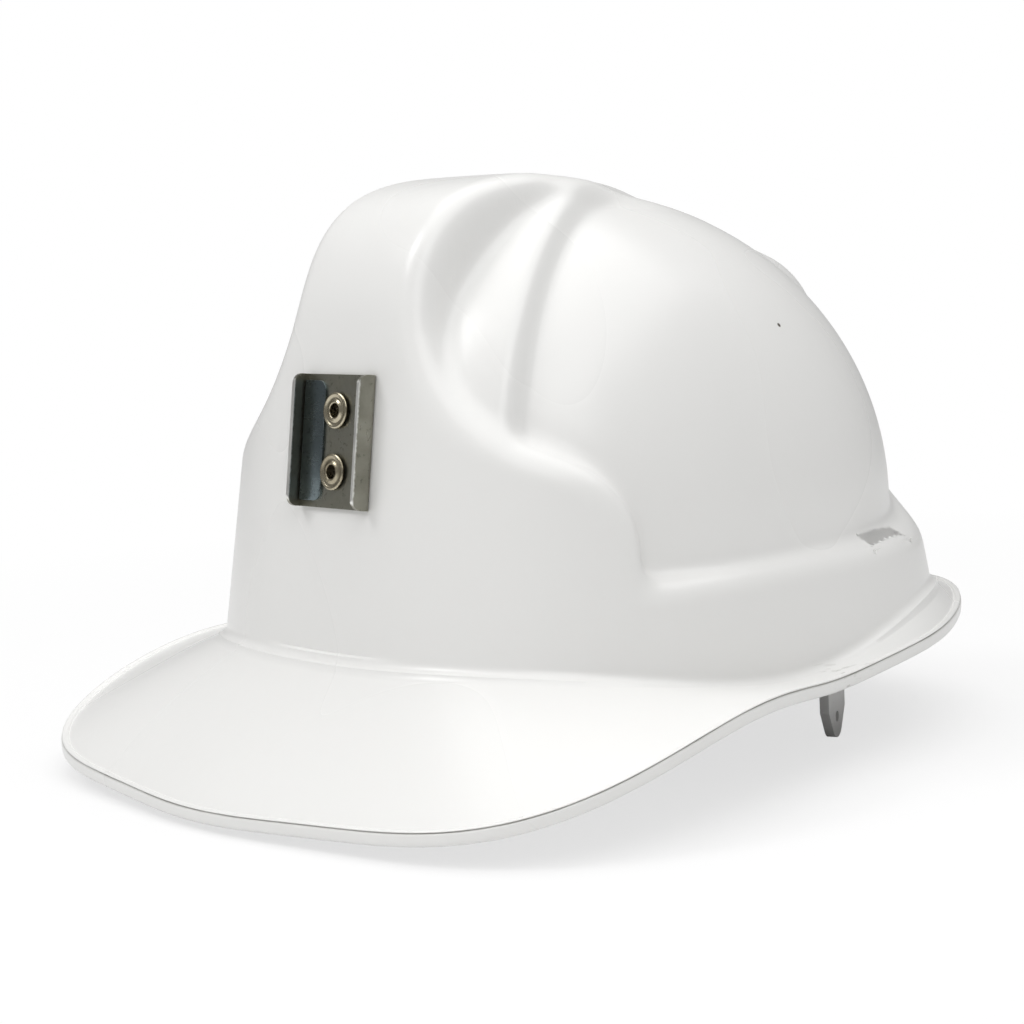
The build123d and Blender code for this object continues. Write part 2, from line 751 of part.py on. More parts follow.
# Cradle: keys, crossing straps and crown pad
def key(corner):
    """Blade in the shell's socket, arm with a strap slot, and foot that guides the band's stud."""
    plane = key_planes[corner]
    foot = band_plane(*corners[corner], key_foot_turn)
    level = Plane(origin=(plane.origin.X, plane.origin.Y, 0), x_dir=plane.x_dir, z_dir=(0, 0, 1))
    foot_half = key_foot_width / 2
    inner = [level.to_local_coords(foot.from_local_coords(Vector(side * foot_half, 0, foot_out[0])))
             for side in (1, -1)]
    half = key_width / 2
    arm_half = key_arm_width / 2
    right = [(half, -blade_out[1]), (half, -blade_out[0]), (arm_half, key_arm_inset), (arm_half, key_arm_reach)]
    left = [(-across, depth) for across, depth in right[::-1]]
    outline = right + [(point.X, point.Y) for point in inner] + left
    face = level * Rot(180, 0, 0) * make_face(Polyline(*[(x, -y) for x, y in outline], close=True))
    arm = extrude(Pos(0, 0, key_base) * face, -key_shelf, dir=(0, 0, 1))
    low = key_base - key_foot_drop
    body = block(plane, both_ways(half), (-key_shelf / 2, key_blade_height), blade_out)
    body += [arm, block(foot, both_ways(foot_half), (low, key_base), foot_out)]
    slot = stud_diameter / 2 + running_gap
    body -= block(foot, both_ways(slot), (stud_height - height_travel - slot, stud_height + height_travel + slot),
                  both_ways(2 * key_foot_thickness))
    end, side = corners[corner]
    strap = strap_plane(corner_bearing(end, side))
    body -= block(strap, (strap_reach - strap_thickness - strap_gap, strap_reach + strap_gap),
                  (key_base - 2 * key_shelf, key_base + key_shelf), both_ways(strap_width / 2 + strap_gap))
    return body


def strap_plane(bearing):
    """Upright plane through the head's centre, X along the bearing and Y up."""
    way = bearing_way(bearing)
    return Plane(origin=(0, head_centre, 0), x_dir=tuple(map(float, way)), z_dir=(float(way[1]), -float(way[0]), 0))


def arch(lift, turns):
    """Points on the outside of a strap's arch over the head."""
    power = 2 / strap_roundness_share
    across = np.sign(np.cos(turns)) * np.abs(np.cos(turns)) ** power * (strap_reach + lift)
    up = np.sin(turns) ** power * (strap_crown - key_base + lift)
    return [(float(x), float(key_base + y)) for x, y in zip(across, up)]


def strap(bearing, lift):
    """Webbing from key to key over the head, with a sewn hem below each key."""
    turns = np.linspace(0, np.pi, 15)
    low = key_base - key_shelf
    outer = Spline(*arch(0, turns)[:1], *arch(lift, turns)[1:-1], *arch(0, turns)[-1:], tangents=[(0, 1), (0, -1)])
    inside = lift - strap_thickness
    inner = Spline(*arch(-strap_thickness, turns)[:1], *arch(inside, turns)[1:-1],
                   *arch(-strap_thickness, turns)[-1:], tangents=[(0, 1), (0, -1)])
    edges = [outer, inner]
    hems = []
    for place, side in ((0, 1), (1, -1)):
        top_out = outer @ place
        top_in = inner @ place
        edges += [Line(top_out, (top_out.X, low)), Line((top_out.X, low), (top_in.X, low)),
                  Line((top_in.X, low), top_in)]
        middle = (top_out.X + top_in.X) / 2
        hems.append(Pos(middle, low - strap_hem_height / 2) * Rectangle(strap_hem, strap_hem_height))
    face = make_face(edges) + hems
    return extrude(strap_plane(bearing) * face, strap_width / 2, both=True)


def crown_pad():
    """Soft round pad that follows the straps where they cross."""
    radius = pad_diameter / 2
    turns = np.linspace(np.pi / 2, np.arccos((radius / strap_reach) ** (strap_roundness_share / 2)), 7)
    top = arch(-strap_thickness - pad_gap, turns)
    rim = top[-1]
    bottom = (0, top[0][1] - pad_thickness)
    edges = [Spline(*top), Line(rim, (rim[0], rim[1] - pad_rim)),
             Spline(bottom, (rim[0], rim[1] - pad_rim), tangents=[(1, 0), (1, -0.5)]), Line(bottom, top[0])]
    return Pos(0, head_centre, 0) * revolve(Plane.XZ * make_face(edges), Axis.Z)


# Ratchet at the nape
pitch_radius = tooth_module * pinion_teeth / 2
tooth_pitch = np.pi * tooth_module
tooth_tip = tooth_module
tooth_root = 1.25 * tooth_module
tooth_slope = np.tan(np.radians(20))
knob_y = rear_axis + channel_faces[1] + cover_thickness


def rack(side):
    """Toothed nape strap: a broad arm in the band's loops and a toothed finger in the housing."""
    half = rack_height / 2
    turns = sorted((side * rack_start_turn, side * rack_end_turn))
    body = lifted(sector(*rack_faces, turns), both_ways(half))
    finger = sorted((side * rack_tip_turn, side * rack_start_turn))
    heights = sorted((side * (pitch_radius + tooth_root), side * half))
    body += lifted(sector(*rack_faces, finger), heights)
    thick = tooth_width_share * tooth_pitch / 2
    root_half = thick + tooth_root * tooth_slope
    tip_half = thick - tooth_tip * tooth_slope
    root = side * (pitch_radius + tooth_root + tooth_tip / 4)
    tip = side * (pitch_radius - tooth_tip)
    tooth = make_face(Polyline((-root_half, root), (root_half, root), (tip_half, tip), (-tip_half, tip), close=True))
    teeth = []
    for number in range(-teeth_each_side, teeth_each_side):
        turn = float(np.degrees((number + 0.5) * tooth_pitch / rack_radius))
        middle = turned(turn) * Pos(0, 0, rack_radius)
        teeth.append(middle * extrude(tooth, 0.45 * rack_thickness, both=True))
    return body + teeth


def gear(teeth, pitch, tip, root, thick_turn, slope_turn):
    """Straight-sided gear outline from its radii and its tooth's half turn."""
    points = []
    for number in range(teeth):
        middle = number * 360 / teeth
        marks = ((root, -thick_turn - slope_turn), (tip, slope_turn - thick_turn), (tip, thick_turn - slope_turn),
                 (root, thick_turn + slope_turn))
        for radius, turn in marks:
            angle = np.radians(middle + turn)
            points.append((float(radius * np.cos(angle)), float(radius * np.sin(angle))))
    return make_face(Polyline(*points, close=True))


knob_plane = Plane(origin=(0, rear_axis, 0), x_dir=(-1, 0, 0), z_dir=(0, 1, 0))


def along(face, low, high):
    """A face around the knob's axis, extruded between two distances from the rear axis."""
    return knob_plane * Pos(0, 0, low) * extrude(face, high - low)


def ratchet_pinion():
    turn = tooth_width_share * 180 / pinion_teeth
    face = gear(pinion_teeth, pitch_radius, pitch_radius + tooth_tip, pitch_radius - tooth_root, turn, turn / 2)
    face -= Rectangle(pinion_key + running_gap / 3, pinion_key + running_gap / 3)
    return along(face, rack_radius - pinion_width / 2, rack_radius + pinion_width / 2)


def pinion_room():
    radius = pitch_radius + tooth_tip + running_gap
    half = pinion_width / 2 + running_gap
    return along(Circle(radius), rack_radius - half, rack_radius + half)


def screw_places():
    rise = (channel_half + housing_height / 2) / 2
    return [turned(side * screw_turn) * Pos(0, up * rise, 0) for side in (1, -1) for up in (1, -1)]


def ratchet_housing():
    """Curved tray for the toothed straps, with a wing on each side that buttons to the band."""
    turns = both_ways(housing_turn)
    inner = band_inner - wing_thickness
    body = lifted(sector(inner, channel_faces[1], turns), both_ways(housing_height / 2))
    body -= lifted(sector(*channel_faces, both_ways(housing_turn + 1)), both_ways(channel_half))
    body -= pinion_room()
    shank = screw_shank / 2 + running_gap / 3
    depth = channel_faces[1] + cover_thickness - screw_length - running_gap
    body -= [place * Pos(0, 0, depth + screw_length) * Cylinder(shank, 2 * screw_length) for place in screw_places()]
    for side in (1, -1):
        limits = sorted((side * (housing_turn - 1), side * wing_end_turn))
        wing = lifted(sector(inner, band_inner - running_gap / 3, limits), both_ways(wing_height / 2))
        hole = turned(side * (arm_end_turn + wing_end_turn) / 2) * Pos(0, 0, band_inner)
        body += wing - hole * Cylinder(button_diameter / 2 + running_gap / 2, 4 * wing_thickness)
    return body


def ratchet_cover():
    outer = channel_faces[1] + cover_thickness
    body = lifted(sector(channel_faces[1], outer, both_ways(housing_turn)), both_ways(housing_height / 2))
    ring_outer = ring_diameter / 2
    ring_inner = ring_outer - ring_wall
    ring = Circle(ring_outer) - gear(ring_teeth, ring_inner, ring_inner, ring_inner - ring_tooth,
                                     90 / ring_teeth, 60 / ring_teeth)
    body += along(ring, channel_faces[1] + cover_thickness / 4, outer + ring_height)
    body -= along(Circle(shaft_diameter / 2 + running_gap), 0, 2 * outer)
    body -= pinion_room()
    shank = screw_shank / 2 + running_gap / 3
    body -= [place * Pos(0, 0, outer) * Cylinder(shank, 4 * cover_thickness) for place in screw_places()]
    return body


knob_low = channel_faces[1] + cover_thickness + running_gap
hub_low = knob_low + ring_height


def ratchet_knob():
    """Ribbed knob with a hollow underside and a shaft that ends in a square."""
    grips = [Rot(0, 0, number * 360 / knob_grips)
             * Pos(knob_diameter / 2 + knob_grip_radius - knob_grip_depth, 0) * Circle(knob_grip_radius)
             for number in range(knob_grips)]
    body = along(Circle(knob_diameter / 2) - grips, knob_low, knob_low + knob_depth)
    rim = ring_diameter / 2 + running_gap
    body -= along(Circle(rim), 0, hub_low + running_gap)
    body -= along(Circle(knob_diameter / 2 - knob_grip_depth - knob_wall) - Circle(pawl_hub / 2), 0,
                  knob_low + knob_depth - knob_wall)
    body += along(Circle(pawl_hub / 2), hub_low, knob_low + knob_depth / 2)
    body += along(Circle(shaft_diameter / 2), rack_radius + pinion_width / 2, hub_low + running_gap)
    return body + along(Rectangle(pinion_key, pinion_key), rack_radius - pinion_width / 2,
                        rack_radius + pinion_width / 2 + running_gap)


def ratchet_pawl():
    """Two springy arms around the shaft that click along the cover's toothed ring."""
    reach = ring_diameter / 2 - ring_wall - ring_tooth - running_gap
    middle = (pawl_hub / 2 + reach) / 2
    tip_radius = reach - middle - 2 * running_gap
    face = Circle(pawl_hub / 2)
    for number in (0, 1):
        arc = CenterArc((0, 0), middle, 0, 110).edge()
        arm = trace(arc, pawl_arm_width)
        root = Pos((middle + pawl_hub / 4) / 2, 0) * Rectangle(middle - pawl_hub / 4, pawl_arm_width)
        tip_place = arc @ 1 * ((reach - tip_radius) / middle)
        tip = Pos(tip_place.X, tip_place.Y) * Circle(tip_radius)
        face += Rot(0, 0, 180 * number) * (arm + root + tip)
    face -= Circle(shaft_diameter / 2 + running_gap / 3)
    return along(face, hub_low - pawl_thickness, hub_low)


def ratchet_screws():
    seat = channel_faces[1] + cover_thickness
    head = Pos(0, 0, seat + screw_head_height / 2) * Cylinder(screw_head / 2, screw_head_height)
    shank = Pos(0, 0, seat - screw_length / 2) * Cylinder(screw_shank / 2, screw_length)
    return Compound([place * (head + shank) for place in screw_places()])


def nape_pad():
    """Soft pad on the inside of the ratchet's housing."""
    outer = band_inner - wing_thickness
    section = Rectangle(nape_pad_thickness, nape_pad_height, align=(Align.MAX, Align.CENTER))
    section = fillet(section.vertices().sort_by(Axis.X)[:2], nape_pad_thickness / 3)
    body = revolve(Plane.XZ * Pos(outer, 0) * section, Axis.Z, 2 * nape_pad_turn)
    return Pos(0, rear_axis, 0) * Rot(0, 0, 90 - nape_pad_turn) * body


nodes = {"shell": shell(), "lamp_bracket": lamp_bracket(), "bracket_spring": bracket_spring(),
         "bracket_eyelets": rivets(lamp_plane, bracket_sheet + leaf_sheet), "eyelet_washers": rivet_washers(),
         "cord_clip": cord_clip(), "cord_clip_rivets": rivets(clip_plane, clip_sheet), "headband": headband(),
         "brow_pad": brow_pad(), "crown_pad": crown_pad(), "ratchet_housing": ratchet_housing(),
         "ratchet_cover": ratchet_cover(), "ratchet_knob": ratchet_knob(), "ratchet_pinion": ratchet_pinion(),
         "ratchet_pawl": ratchet_pawl(), "ratchet_screws": ratchet_screws(), "nape_pad": nape_pad()}
for corner in corners:
    nodes["key_" + corner] = key(corner)
nodes["strap_lower"] = strap(corner_bearing(-1, 1), 0)
nodes["strap_upper"] = strap(corner_bearing(-1, -1), strap_thickness + strap_gap)
nodes["nape_strap_left"] = rack(1)
nodes["nape_strap_right"] = rack(-1)
for name, piece in nodes.items():
    export_step(piece, "parts/" + name + ".step")
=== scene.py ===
import json
import math
import bmesh
import bpy
import numpy as np
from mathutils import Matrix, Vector


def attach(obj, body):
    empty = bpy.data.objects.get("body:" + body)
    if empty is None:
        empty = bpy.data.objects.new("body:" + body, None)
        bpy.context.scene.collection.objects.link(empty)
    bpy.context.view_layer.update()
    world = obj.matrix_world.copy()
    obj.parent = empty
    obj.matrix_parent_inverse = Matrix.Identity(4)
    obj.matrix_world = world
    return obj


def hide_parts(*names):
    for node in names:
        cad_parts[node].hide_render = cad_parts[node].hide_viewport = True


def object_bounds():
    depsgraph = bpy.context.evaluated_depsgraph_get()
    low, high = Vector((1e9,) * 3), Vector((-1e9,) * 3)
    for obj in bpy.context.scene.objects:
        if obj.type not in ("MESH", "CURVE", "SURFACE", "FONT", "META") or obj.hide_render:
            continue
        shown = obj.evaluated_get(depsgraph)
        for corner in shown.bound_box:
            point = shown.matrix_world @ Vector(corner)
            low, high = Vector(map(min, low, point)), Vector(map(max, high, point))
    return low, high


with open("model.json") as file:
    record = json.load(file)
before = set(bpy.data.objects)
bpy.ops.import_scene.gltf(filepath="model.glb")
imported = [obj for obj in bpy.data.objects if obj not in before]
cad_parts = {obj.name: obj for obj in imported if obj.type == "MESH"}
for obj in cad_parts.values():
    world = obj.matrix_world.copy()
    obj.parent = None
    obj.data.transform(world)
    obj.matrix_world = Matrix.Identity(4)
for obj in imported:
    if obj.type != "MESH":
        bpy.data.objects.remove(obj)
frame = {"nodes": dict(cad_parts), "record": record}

cad_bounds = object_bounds()
MM = 0.001

# The shell's form, in millimetres, as in the part's source
wall_half_width, wall_front, wall_rear = 104.0, 105.5, 126.8
wall_squareness, wall_lean, shell_thickness = 2.8, 0.135, 2.4
dome_half_width, dome_front, dome_rear = 94.0, 90.5, 116.8
dome_squareness, dome_skirt_height, dome_skirt_lean = 2.53, 44.2, 0.033
dome_height, dome_roundness = 151.6, 2.0
rib_height, rib_spring_height, rib_roundness = 157.7, 57.3, 4.6
rib_half_width, rib_spread, rib_spread_height = 29.7, 0.075, 110.0
rib_drop, rib_drop_start, rib_drop_end, rib_blend = 25.0, -36.0, 82.5, 60.0
shield_height, shield_slope, shield_end, shield_end_tilt = 66.6, 0.25, -53.0, 0.2
shield_shoulder, shield_foot = 30.0, 9.0
ledge_height, layer_bevel, layer_foot = 34.4, 8.0, 4.0
plateau_rise, plateau_half_width, plateau_spread = 6.0, 26.2, 0.45
plateau_bevel, plateau_end, plateau_fade = 6.0, 50.0, 70.0
peak_length, brim_edge_drop, brim_root_rise = 50.5, 28.6, 12.6
brim_width_shares = (1.0, 0.976, 1.085, 0.905, 0.545, 0.279, 0.196, 0.170, 0.174, 0.297, 0.350)
brim_edge_shares = (-1.0, -0.955, -0.822, -0.332, 0.052, -0.024, 0.007, 0.063, 0.192, 0.269, 0.220)
brim_root_shares = (0.738, 0.794, 0.389, -0.087, 0.738, 1.0, 0.444)
brim_sag, brim_fillet = 1.15, 3.2
lip_width, lip_height, lip_proud = 2.6, 4.6, 0.5
lip_line_depth, lip_line_turn, lip_line_spread = 0.5, 33.0, 8.0
lip_rows, lip_roundness = 40, (0.5, 0.6)
bracket_middle, panel_cut, panel_blend = 77.0, 1.5, 1.0
columns, rows, inner_rows = 720, 190, 60


def smooth_max(a, b, blend):
    share = np.clip(0.5 + 0.5 * (a - b) / blend, 0, 1)
    return b + share * (a - b) + blend * share * (1 - share)


def smooth_min(a, b, blend):
    return -smooth_max(-a, -b, blend)


def ramp(value, start, end):
    share = np.clip((value - start) / (end - start), 0, 1)
    return share * share * (3 - 2 * share)


def rounded(value, power):
    """A value from -1 to 1 drawn toward its ends, which squares a circle's corners."""
    return np.sign(value) * np.abs(value) ** power


def plan_share(x, y, half_width, front, rear, squareness):
    length = np.where(y < 0, front, rear)
    sides = (np.abs(x) / half_width) ** squareness + (np.abs(y) / length) ** squareness
    return sides ** (1 / squareness)


def even_curve(values, turn):
    terms = np.arange(len(values))
    steps = np.pi * terms / (len(values) - 1)
    weights = np.linalg.solve(np.cos(np.outer(steps, terms)), np.array(values))
    return np.cos(np.multiply.outer(turn, terms)) @ weights


def dome_depth(x, y, z, rise=0.0):
    lean = 1 - dome_skirt_lean * np.clip(z, 0, dome_skirt_height) / wall_half_width
    plan = plan_share(x, y, (dome_half_width + rise) * lean, (dome_front + rise) * lean,
                      (dome_rear + rise) * lean, dome_squareness)
    up = np.maximum(z - dome_skirt_height, 0) / (dome_height + rise - dome_skirt_height)
    return (1 - (plan ** dome_roundness + up ** dome_roundness) ** (1 / dome_roundness)) * dome_half_width


def band_depth(x, y, z):
    lean = 1 - wall_lean * z / wall_half_width
    plan = plan_share(x, y, wall_half_width * lean, wall_front * lean, wall_rear * lean, wall_squareness)
    top = rib_height - rib_drop * ramp(y, rib_drop_start, rib_drop_end)
    up = np.maximum(z - rib_spring_height, 0) / (top - rib_spring_height)
    return (1 - (plan ** rib_roundness + up ** rib_roundness) ** (1 / rib_roundness)) * wall_half_width


def layer_reach(x, y, z):
    rib = rib_half_width + rib_spread * np.maximum(rib_spread_height - z, 0) - np.abs(x)
    line = shield_height - shield_slope * (y - shield_end) - z
    end = shield_end + shield_end_tilt * (z - ledge_height) - y
    shield = smooth_max(smooth_min(line, end, shield_shoulder), ledge_height - z, shield_foot)
    return smooth_max(rib, shield, rib_blend)


def layered_depth(x, y, z):
    smooth = dome_depth(x, y, z)
    fade = ramp(y, plateau_end, plateau_end - plateau_fade)
    plateau = dome_depth(x, y, z, plateau_rise) - (1 - fade) * plateau_rise
    plateau_reach = plateau_half_width - plateau_spread * y - np.abs(x)
    plateau = smooth_min(plateau, plateau_reach, plateau_bevel)
    layer = smooth_min(band_depth(x, y, z), layer_reach(x, y, z), layer_bevel)
    return smooth_max(smooth_max(smooth, plateau, layer_foot), layer, layer_foot)


def reach_along(depth, start, way):
    low = np.zeros(way.shape[:-1])
    high = low + 2 * wall_half_width
    for _ in range(26):
        middle = (low + high) / 2
        point = start + way * middle[..., None]
        inside = depth(point[..., 0], point[..., 1], point[..., 2]) > 0
        low = np.where(inside, middle, low)
        high = np.where(inside, high, middle)
    return low


def surface_normal(depth, point):
    slopes = []
    for move in np.eye(3) * shell_thickness / 6:
        ahead = point + move
        behind = point - move
        slopes.append(depth(behind[..., 0], behind[..., 1], behind[..., 2])
                      - depth(ahead[..., 0], ahead[..., 1], ahead[..., 2]))
    normal = np.stack(slopes, -1)
    return normal / np.linalg.norm(normal, axis=-1, keepdims=True)


def surface_point(depth, start, way):
    way = np.array(way) / np.linalg.norm(way)
    return np.array(start) + way * reach_along(depth, np.array(start), way[None, :])[0]


panel_touch = surface_point(layered_depth, (0.0, 0.0, bracket_middle), (0.0, -1.0, 0.0))
panel_normal = surface_normal(layered_depth, panel_touch)
panel_point = panel_touch - panel_cut * panel_normal


def shell_depth(x, y, z):
    flat = ((panel_point[0] - x) * panel_normal[0] + (panel_point[1] - y) * panel_normal[1]
            + (panel_point[2] - z) * panel_normal[2])
    return smooth_min(layered_depth(x, y, z), flat, panel_blend)


def wall_radius(angle, height):
    lean = 1 - wall_lean * height / wall_half_width
    return lean / plan_share(np.cos(angle), np.sin(angle), wall_half_width, wall_front, wall_rear,
                             wall_squareness)


ring_angle = np.arange(columns) * 2 * np.pi / columns
front_turn = np.arccos(np.clip(-np.sin(ring_angle), -1, 1))
brim_width = peak_length * even_curve(brim_width_shares, front_turn)
edge_height = brim_edge_drop * even_curve(brim_edge_shares, front_turn)
root_height = brim_root_rise * even_curve(brim_root_shares, front_turn)
root_radius = wall_radius(ring_angle, root_height + brim_fillet)
edge_radius = wall_radius(ring_angle, 0) + brim_width


def ring_at(radius, height):
    return np.stack([radius * np.cos(ring_angle), radius * np.sin(ring_angle), height + 0 * radius], -1)


def brim_place(share):
    start = root_radius + brim_fillet
    radius = start + (edge_radius - lip_width - start) * share
    out = (radius - root_radius) / (edge_radius - root_radius)
    return radius, root_height + (edge_height - root_height) * out ** brim_sag


def root_fillet(radius, turns):
    return [ring_at(root_radius + brim_fillet - radius * np.cos(turn),
                    root_height + brim_fillet - radius * np.sin(turn)) for turn in np.radians(turns)]


def lip_rings():
    """The rolled lip's rings, and how deep in its line each lies."""
    radius, height = brim_place(1)
    half = lip_height / 2
    rings, shares = [], []
    for turn in np.radians(np.linspace(120, -125, lip_rows)):
        out = rounded(np.cos(turn), lip_roundness[0])
        up = rounded(np.sin(turn), lip_roundness[1])
        line = lip_line_depth * math.exp(-((math.degrees(turn) - lip_line_turn) / lip_line_spread) ** 2)
        reach = radius + lip_width * (1 + out) / 2 - line
        rings.append(ring_at(reach, height + lip_proud - half + half * up))
        shares.append(line / lip_line_depth)
    return rings, shares


def new_object(name, mesh):
    piece = bpy.data.objects.new(name, mesh)
    bpy.context.scene.collection.objects.link(piece)
    return piece


def made_object(name, made):
    mesh = bpy.data.meshes.new(name)
    made.to_mesh(mesh)
    made.free()
    return new_object(name, mesh)


def smooth_faces(mesh):
    mesh.polygons.foreach_set("use_smooth", [True] * len(mesh.polygons))


def face_outward(mesh):
    made = bmesh.new()
    made.from_mesh(mesh)
    bmesh.ops.recalc_face_normals(made, faces=made.faces[:])
    made.to_mesh(mesh)
    made.free()


def stacked(name, rings, poles):
    """A closed surface through equal rings, from one pole to the other."""
    count = len(rings[0])
    points = np.concatenate(rings + [np.array(poles)]) * MM
    here = np.arange(count)
    after = (here + 1) % count
    faces = []
    for level in range(len(rings) - 1):
        low, high = level * count, (level + 1) * count
        faces += np.stack([low + here, high + here, high + after, low + after], -1).tolist()
    first, last = len(points) - 2, len(points) - 1
    top = (len(rings) - 1) * count
    faces += [(first, int(a), int(b)) for a, b in zip(here, after)]
    faces += [(last, int(top + b), int(top + a)) for a, b in zip(here, after)]
    mesh = bpy.data.meshes.new(name)
    mesh.from_pydata(points.tolist(), [], faces)
    smooth_faces(mesh)
    mesh.update()
    return mesh


def dome_rings(depth_rows):
    foot = np.arctan2(root_height + brim_fillet, root_radius)
    step = (np.pi / 2 - foot) / (depth_rows + 0.5)
    rise = foot + np.arange(depth_rows)[:, None] * step
    way = np.stack([np.cos(rise) * np.cos(ring_angle), np.cos(rise) * np.sin(ring_angle), np.sin(rise)], -1)
    return way * reach_along(shell_depth, np.zeros(3), way)[..., None]


def shell_mesh():
    outer = dome_rings(rows)
    coarse = dome_rings(inner_rows)
    inner = coarse - shell_thickness * surface_normal(shell_depth, coarse)
    crown = float(surface_point(shell_depth, (0.0, 0.0, 0.0), (0.0, 0.0, 1.0))[2])
    rings = list(outer[::-1])
    rings += root_fillet(brim_fillet, np.linspace(0, 90, 9)[1:-1])
    rings += [ring_at(*brim_place(share)) for share in np.linspace(0, 1, 34)]
    lip, shares = lip_rings()
    # The lip rings carry their share of painted shade for the groove line; all other rings carry none.
    groove_shade = [0.0] * len(rings) + shares
    rings += lip
    for share in np.linspace(1, 0, 14):
        radius, height = brim_place(share)
        rings.append(ring_at(radius, height - shell_thickness))
    rings += root_fillet(brim_fillet + shell_thickness, np.linspace(90, 0, 7)[1:-1])
    rings += list(inner)
    mesh = stacked("shell_visual", rings, [(0, 0, crown), (0, 0, crown - shell_thickness)])
    groove_shade = np.repeat(groove_shade + [0.0] * (len(rings) - len(groove_shade)), columns).tolist() + [0.0, 0.0]
    mesh.attributes.new("lip_line", "FLOAT", "POINT").data.foreach_set("value", groove_shade)
    return mesh


shell = new_object("shell_visual", shell_mesh())


def plane_on(depth, start, way):
    point = surface_point(depth, start, way)
    normal = surface_normal(depth, point)
    across = np.array([-normal[1], normal[0], 0.0])
    across /= np.linalg.norm(across)
    return point, across, np.cross(normal, across), normal


def bearing_way(bearing):
    return np.array([math.cos(math.radians(bearing)), math.sin(math.radians(bearing)), 0.0])


def block(name, plane, limits, bevel=0.0, segments=2):
    """A box in a plane, from pairs of limits across, up and out, with rounded edges."""
    origin, axes = plane[0], np.array(plane[1:])
    made = bmesh.new()
    bmesh.ops.create_cube(made, size=1.0)
    low, high = np.array(limits).T
    for vertex in made.verts:
        place = low + (np.array(vertex.co) + 0.5) * (high - low)
        vertex.co = Vector((origin + place @ axes) * MM)
    if bevel:
        bmesh.ops.bevel(made, geom=made.edges[:], offset=bevel * MM, segments=segments, profile=0.5,
                        affect="EDGES", clamp_overlap=True)
    bmesh.ops.recalc_face_normals(made, faces=made.faces[:])
    return made_object(name, made)


def rod(name, centre, way, radius, half, sides=48):
    made = bmesh.new()
    bmesh.ops.create_cone(made, cap_ends=True, segments=sides, radius1=radius * MM, radius2=radius * MM,
                          depth=2 * half * MM)
    turn = Vector((0, 0, 1)).rotation_difference(Vector(way)).to_matrix().to_4x4()
    bmesh.ops.transform(made, matrix=turn, verts=made.verts)
    bmesh.ops.translate(made, vec=Vector(np.array(centre) * MM), verts=made.verts)
    return made_object(name, made)


def combine(base, tools, operation):
    """Joins tools to a solid or cuts them from it, and removes the tools."""
    for tool in tools:
        modifier = base.modifiers.new("combine", "BOOLEAN")
        modifier.operation = operation
        modifier.solver = "MANIFOLD"
        modifier.object = tool
        evaluated = base.evaluated_get(bpy.context.evaluated_depsgraph_get())
        mesh = bpy.data.meshes.new_from_object(evaluated)
        base.modifiers.clear()
        base.data = mesh
    for tool in tools:
        bpy.data.objects.remove(tool)


# Keys, slots, rivets, bracket and leaf, in millimetres, as in the part's source
head_centre, key_bearing, key_base = 9.0, 48.0, 15.0
key_width, key_blade, key_blade_height, key_shelf = 22.0, 2.6, 13.0, 3.5
key_clearance, socket_wall = 0.3, 1.8
slot_length, slot_width, slot_bearing, slot_depth = 26.0, 5.0, 33.0, 13.0
slot_wall, slot_cover, slot_inset = 1.5, 3.4, 5.2
rivet_spacing, rivet_barrel, rivet_clearance = 19.0, 5.2, 0.1
rivet_bore, rivet_flange, rivet_curl, washer_gap, washer_thickness = 4.4, 11.3, 8.0, 0.25, 0.8
bracket_sheet, bracket_wall_depth = 1.2, 6.8
leaf_sheet, leaf_width, leaf_height, leaf_edge = 0.7, 9.6, 37.5, 5.6
leaf_corner, leaf_lift, leaf_bend_width = 3.4, 1.0, 3.0
# edge_highlight_spread is the half width of the painted highlight on the bracket walls' free edges.
leaf_notch, leaf_ear, leaf_bevel, edge_highlight_spread = (2.2, 2.0), 0.8, 0.18, 0.25
clip_height = 66.0
corners = {"front_left": (-1, 1), "front_right": (-1, -1), "rear_left": (1, 1), "rear_right": (1, -1)}

lamp_plane = (panel_point, np.array([1.0, 0, 0]), np.cross(panel_normal, (1.0, 0, 0)), panel_normal)
clip_plane = plane_on(shell_depth, (0.0, 0.0, clip_height), (0.0, 1.0, 0.0))
added, cut = [], []
for end, side in corners.values():
    bearing = end * (90 - side * (90 - key_bearing))
    plane = plane_on(band_depth, (0.0, head_centre, key_base), bearing_way(bearing))
    half = key_width / 2 + key_clearance
    top = key_blade_height + key_clearance
    deep = -shell_thickness - 2 * key_clearance - key_blade
    added.append(block("socket", plane, [(-half - socket_wall, half + socket_wall),
                                         (key_shelf / 2, top + socket_wall),
                                         (deep - socket_wall, -0.85 * shell_thickness)], 0.5))
    cut.append(block("socket_room", plane, [(-half, half), (-2 * key_shelf, top), (deep, -shell_thickness)]))
for side in (1, -1):
    wall = plane_on(band_depth, (0.0, 0.0, ledge_height), bearing_way(90 - side * (90 - slot_bearing)))
    inward = np.array([wall[3][0], wall[3][1], 0.0])
    inward /= np.linalg.norm(inward)
    up = np.array([0.0, 0.0, 1.0])
    plane = (wall[0] - slot_inset * inward, wall[1], np.cross(up, wall[1]), up)
    half, across = slot_length / 2, slot_width / 2
    added.append(block("pocket", plane, [(-half - slot_wall, half + slot_wall),
                                         (-across - slot_wall, across + slot_wall),
                                         (-slot_depth, -slot_cover)], 0.6))
    cut.append(block("pocket_room", plane, [(-half, half), (-across, across),
                                            (-2 * slot_depth, slot_depth / 2)], 0.7, 3))
for plane in (lamp_plane, clip_plane):
    for side in (-1, 1):
        cut.append(rod("rivet_hole", plane[0] + side * rivet_spacing / 2 * plane[2], plane[3],
                       rivet_barrel / 2 + rivet_clearance, 4 * shell_thickness))
combine(shell, added, "UNION")
combine(shell, cut, "DIFFERENCE")
smooth_faces(shell.data)
shell.data.set_sharp_from_angle(angle=math.radians(40))
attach(shell, "helmet")
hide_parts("shell")


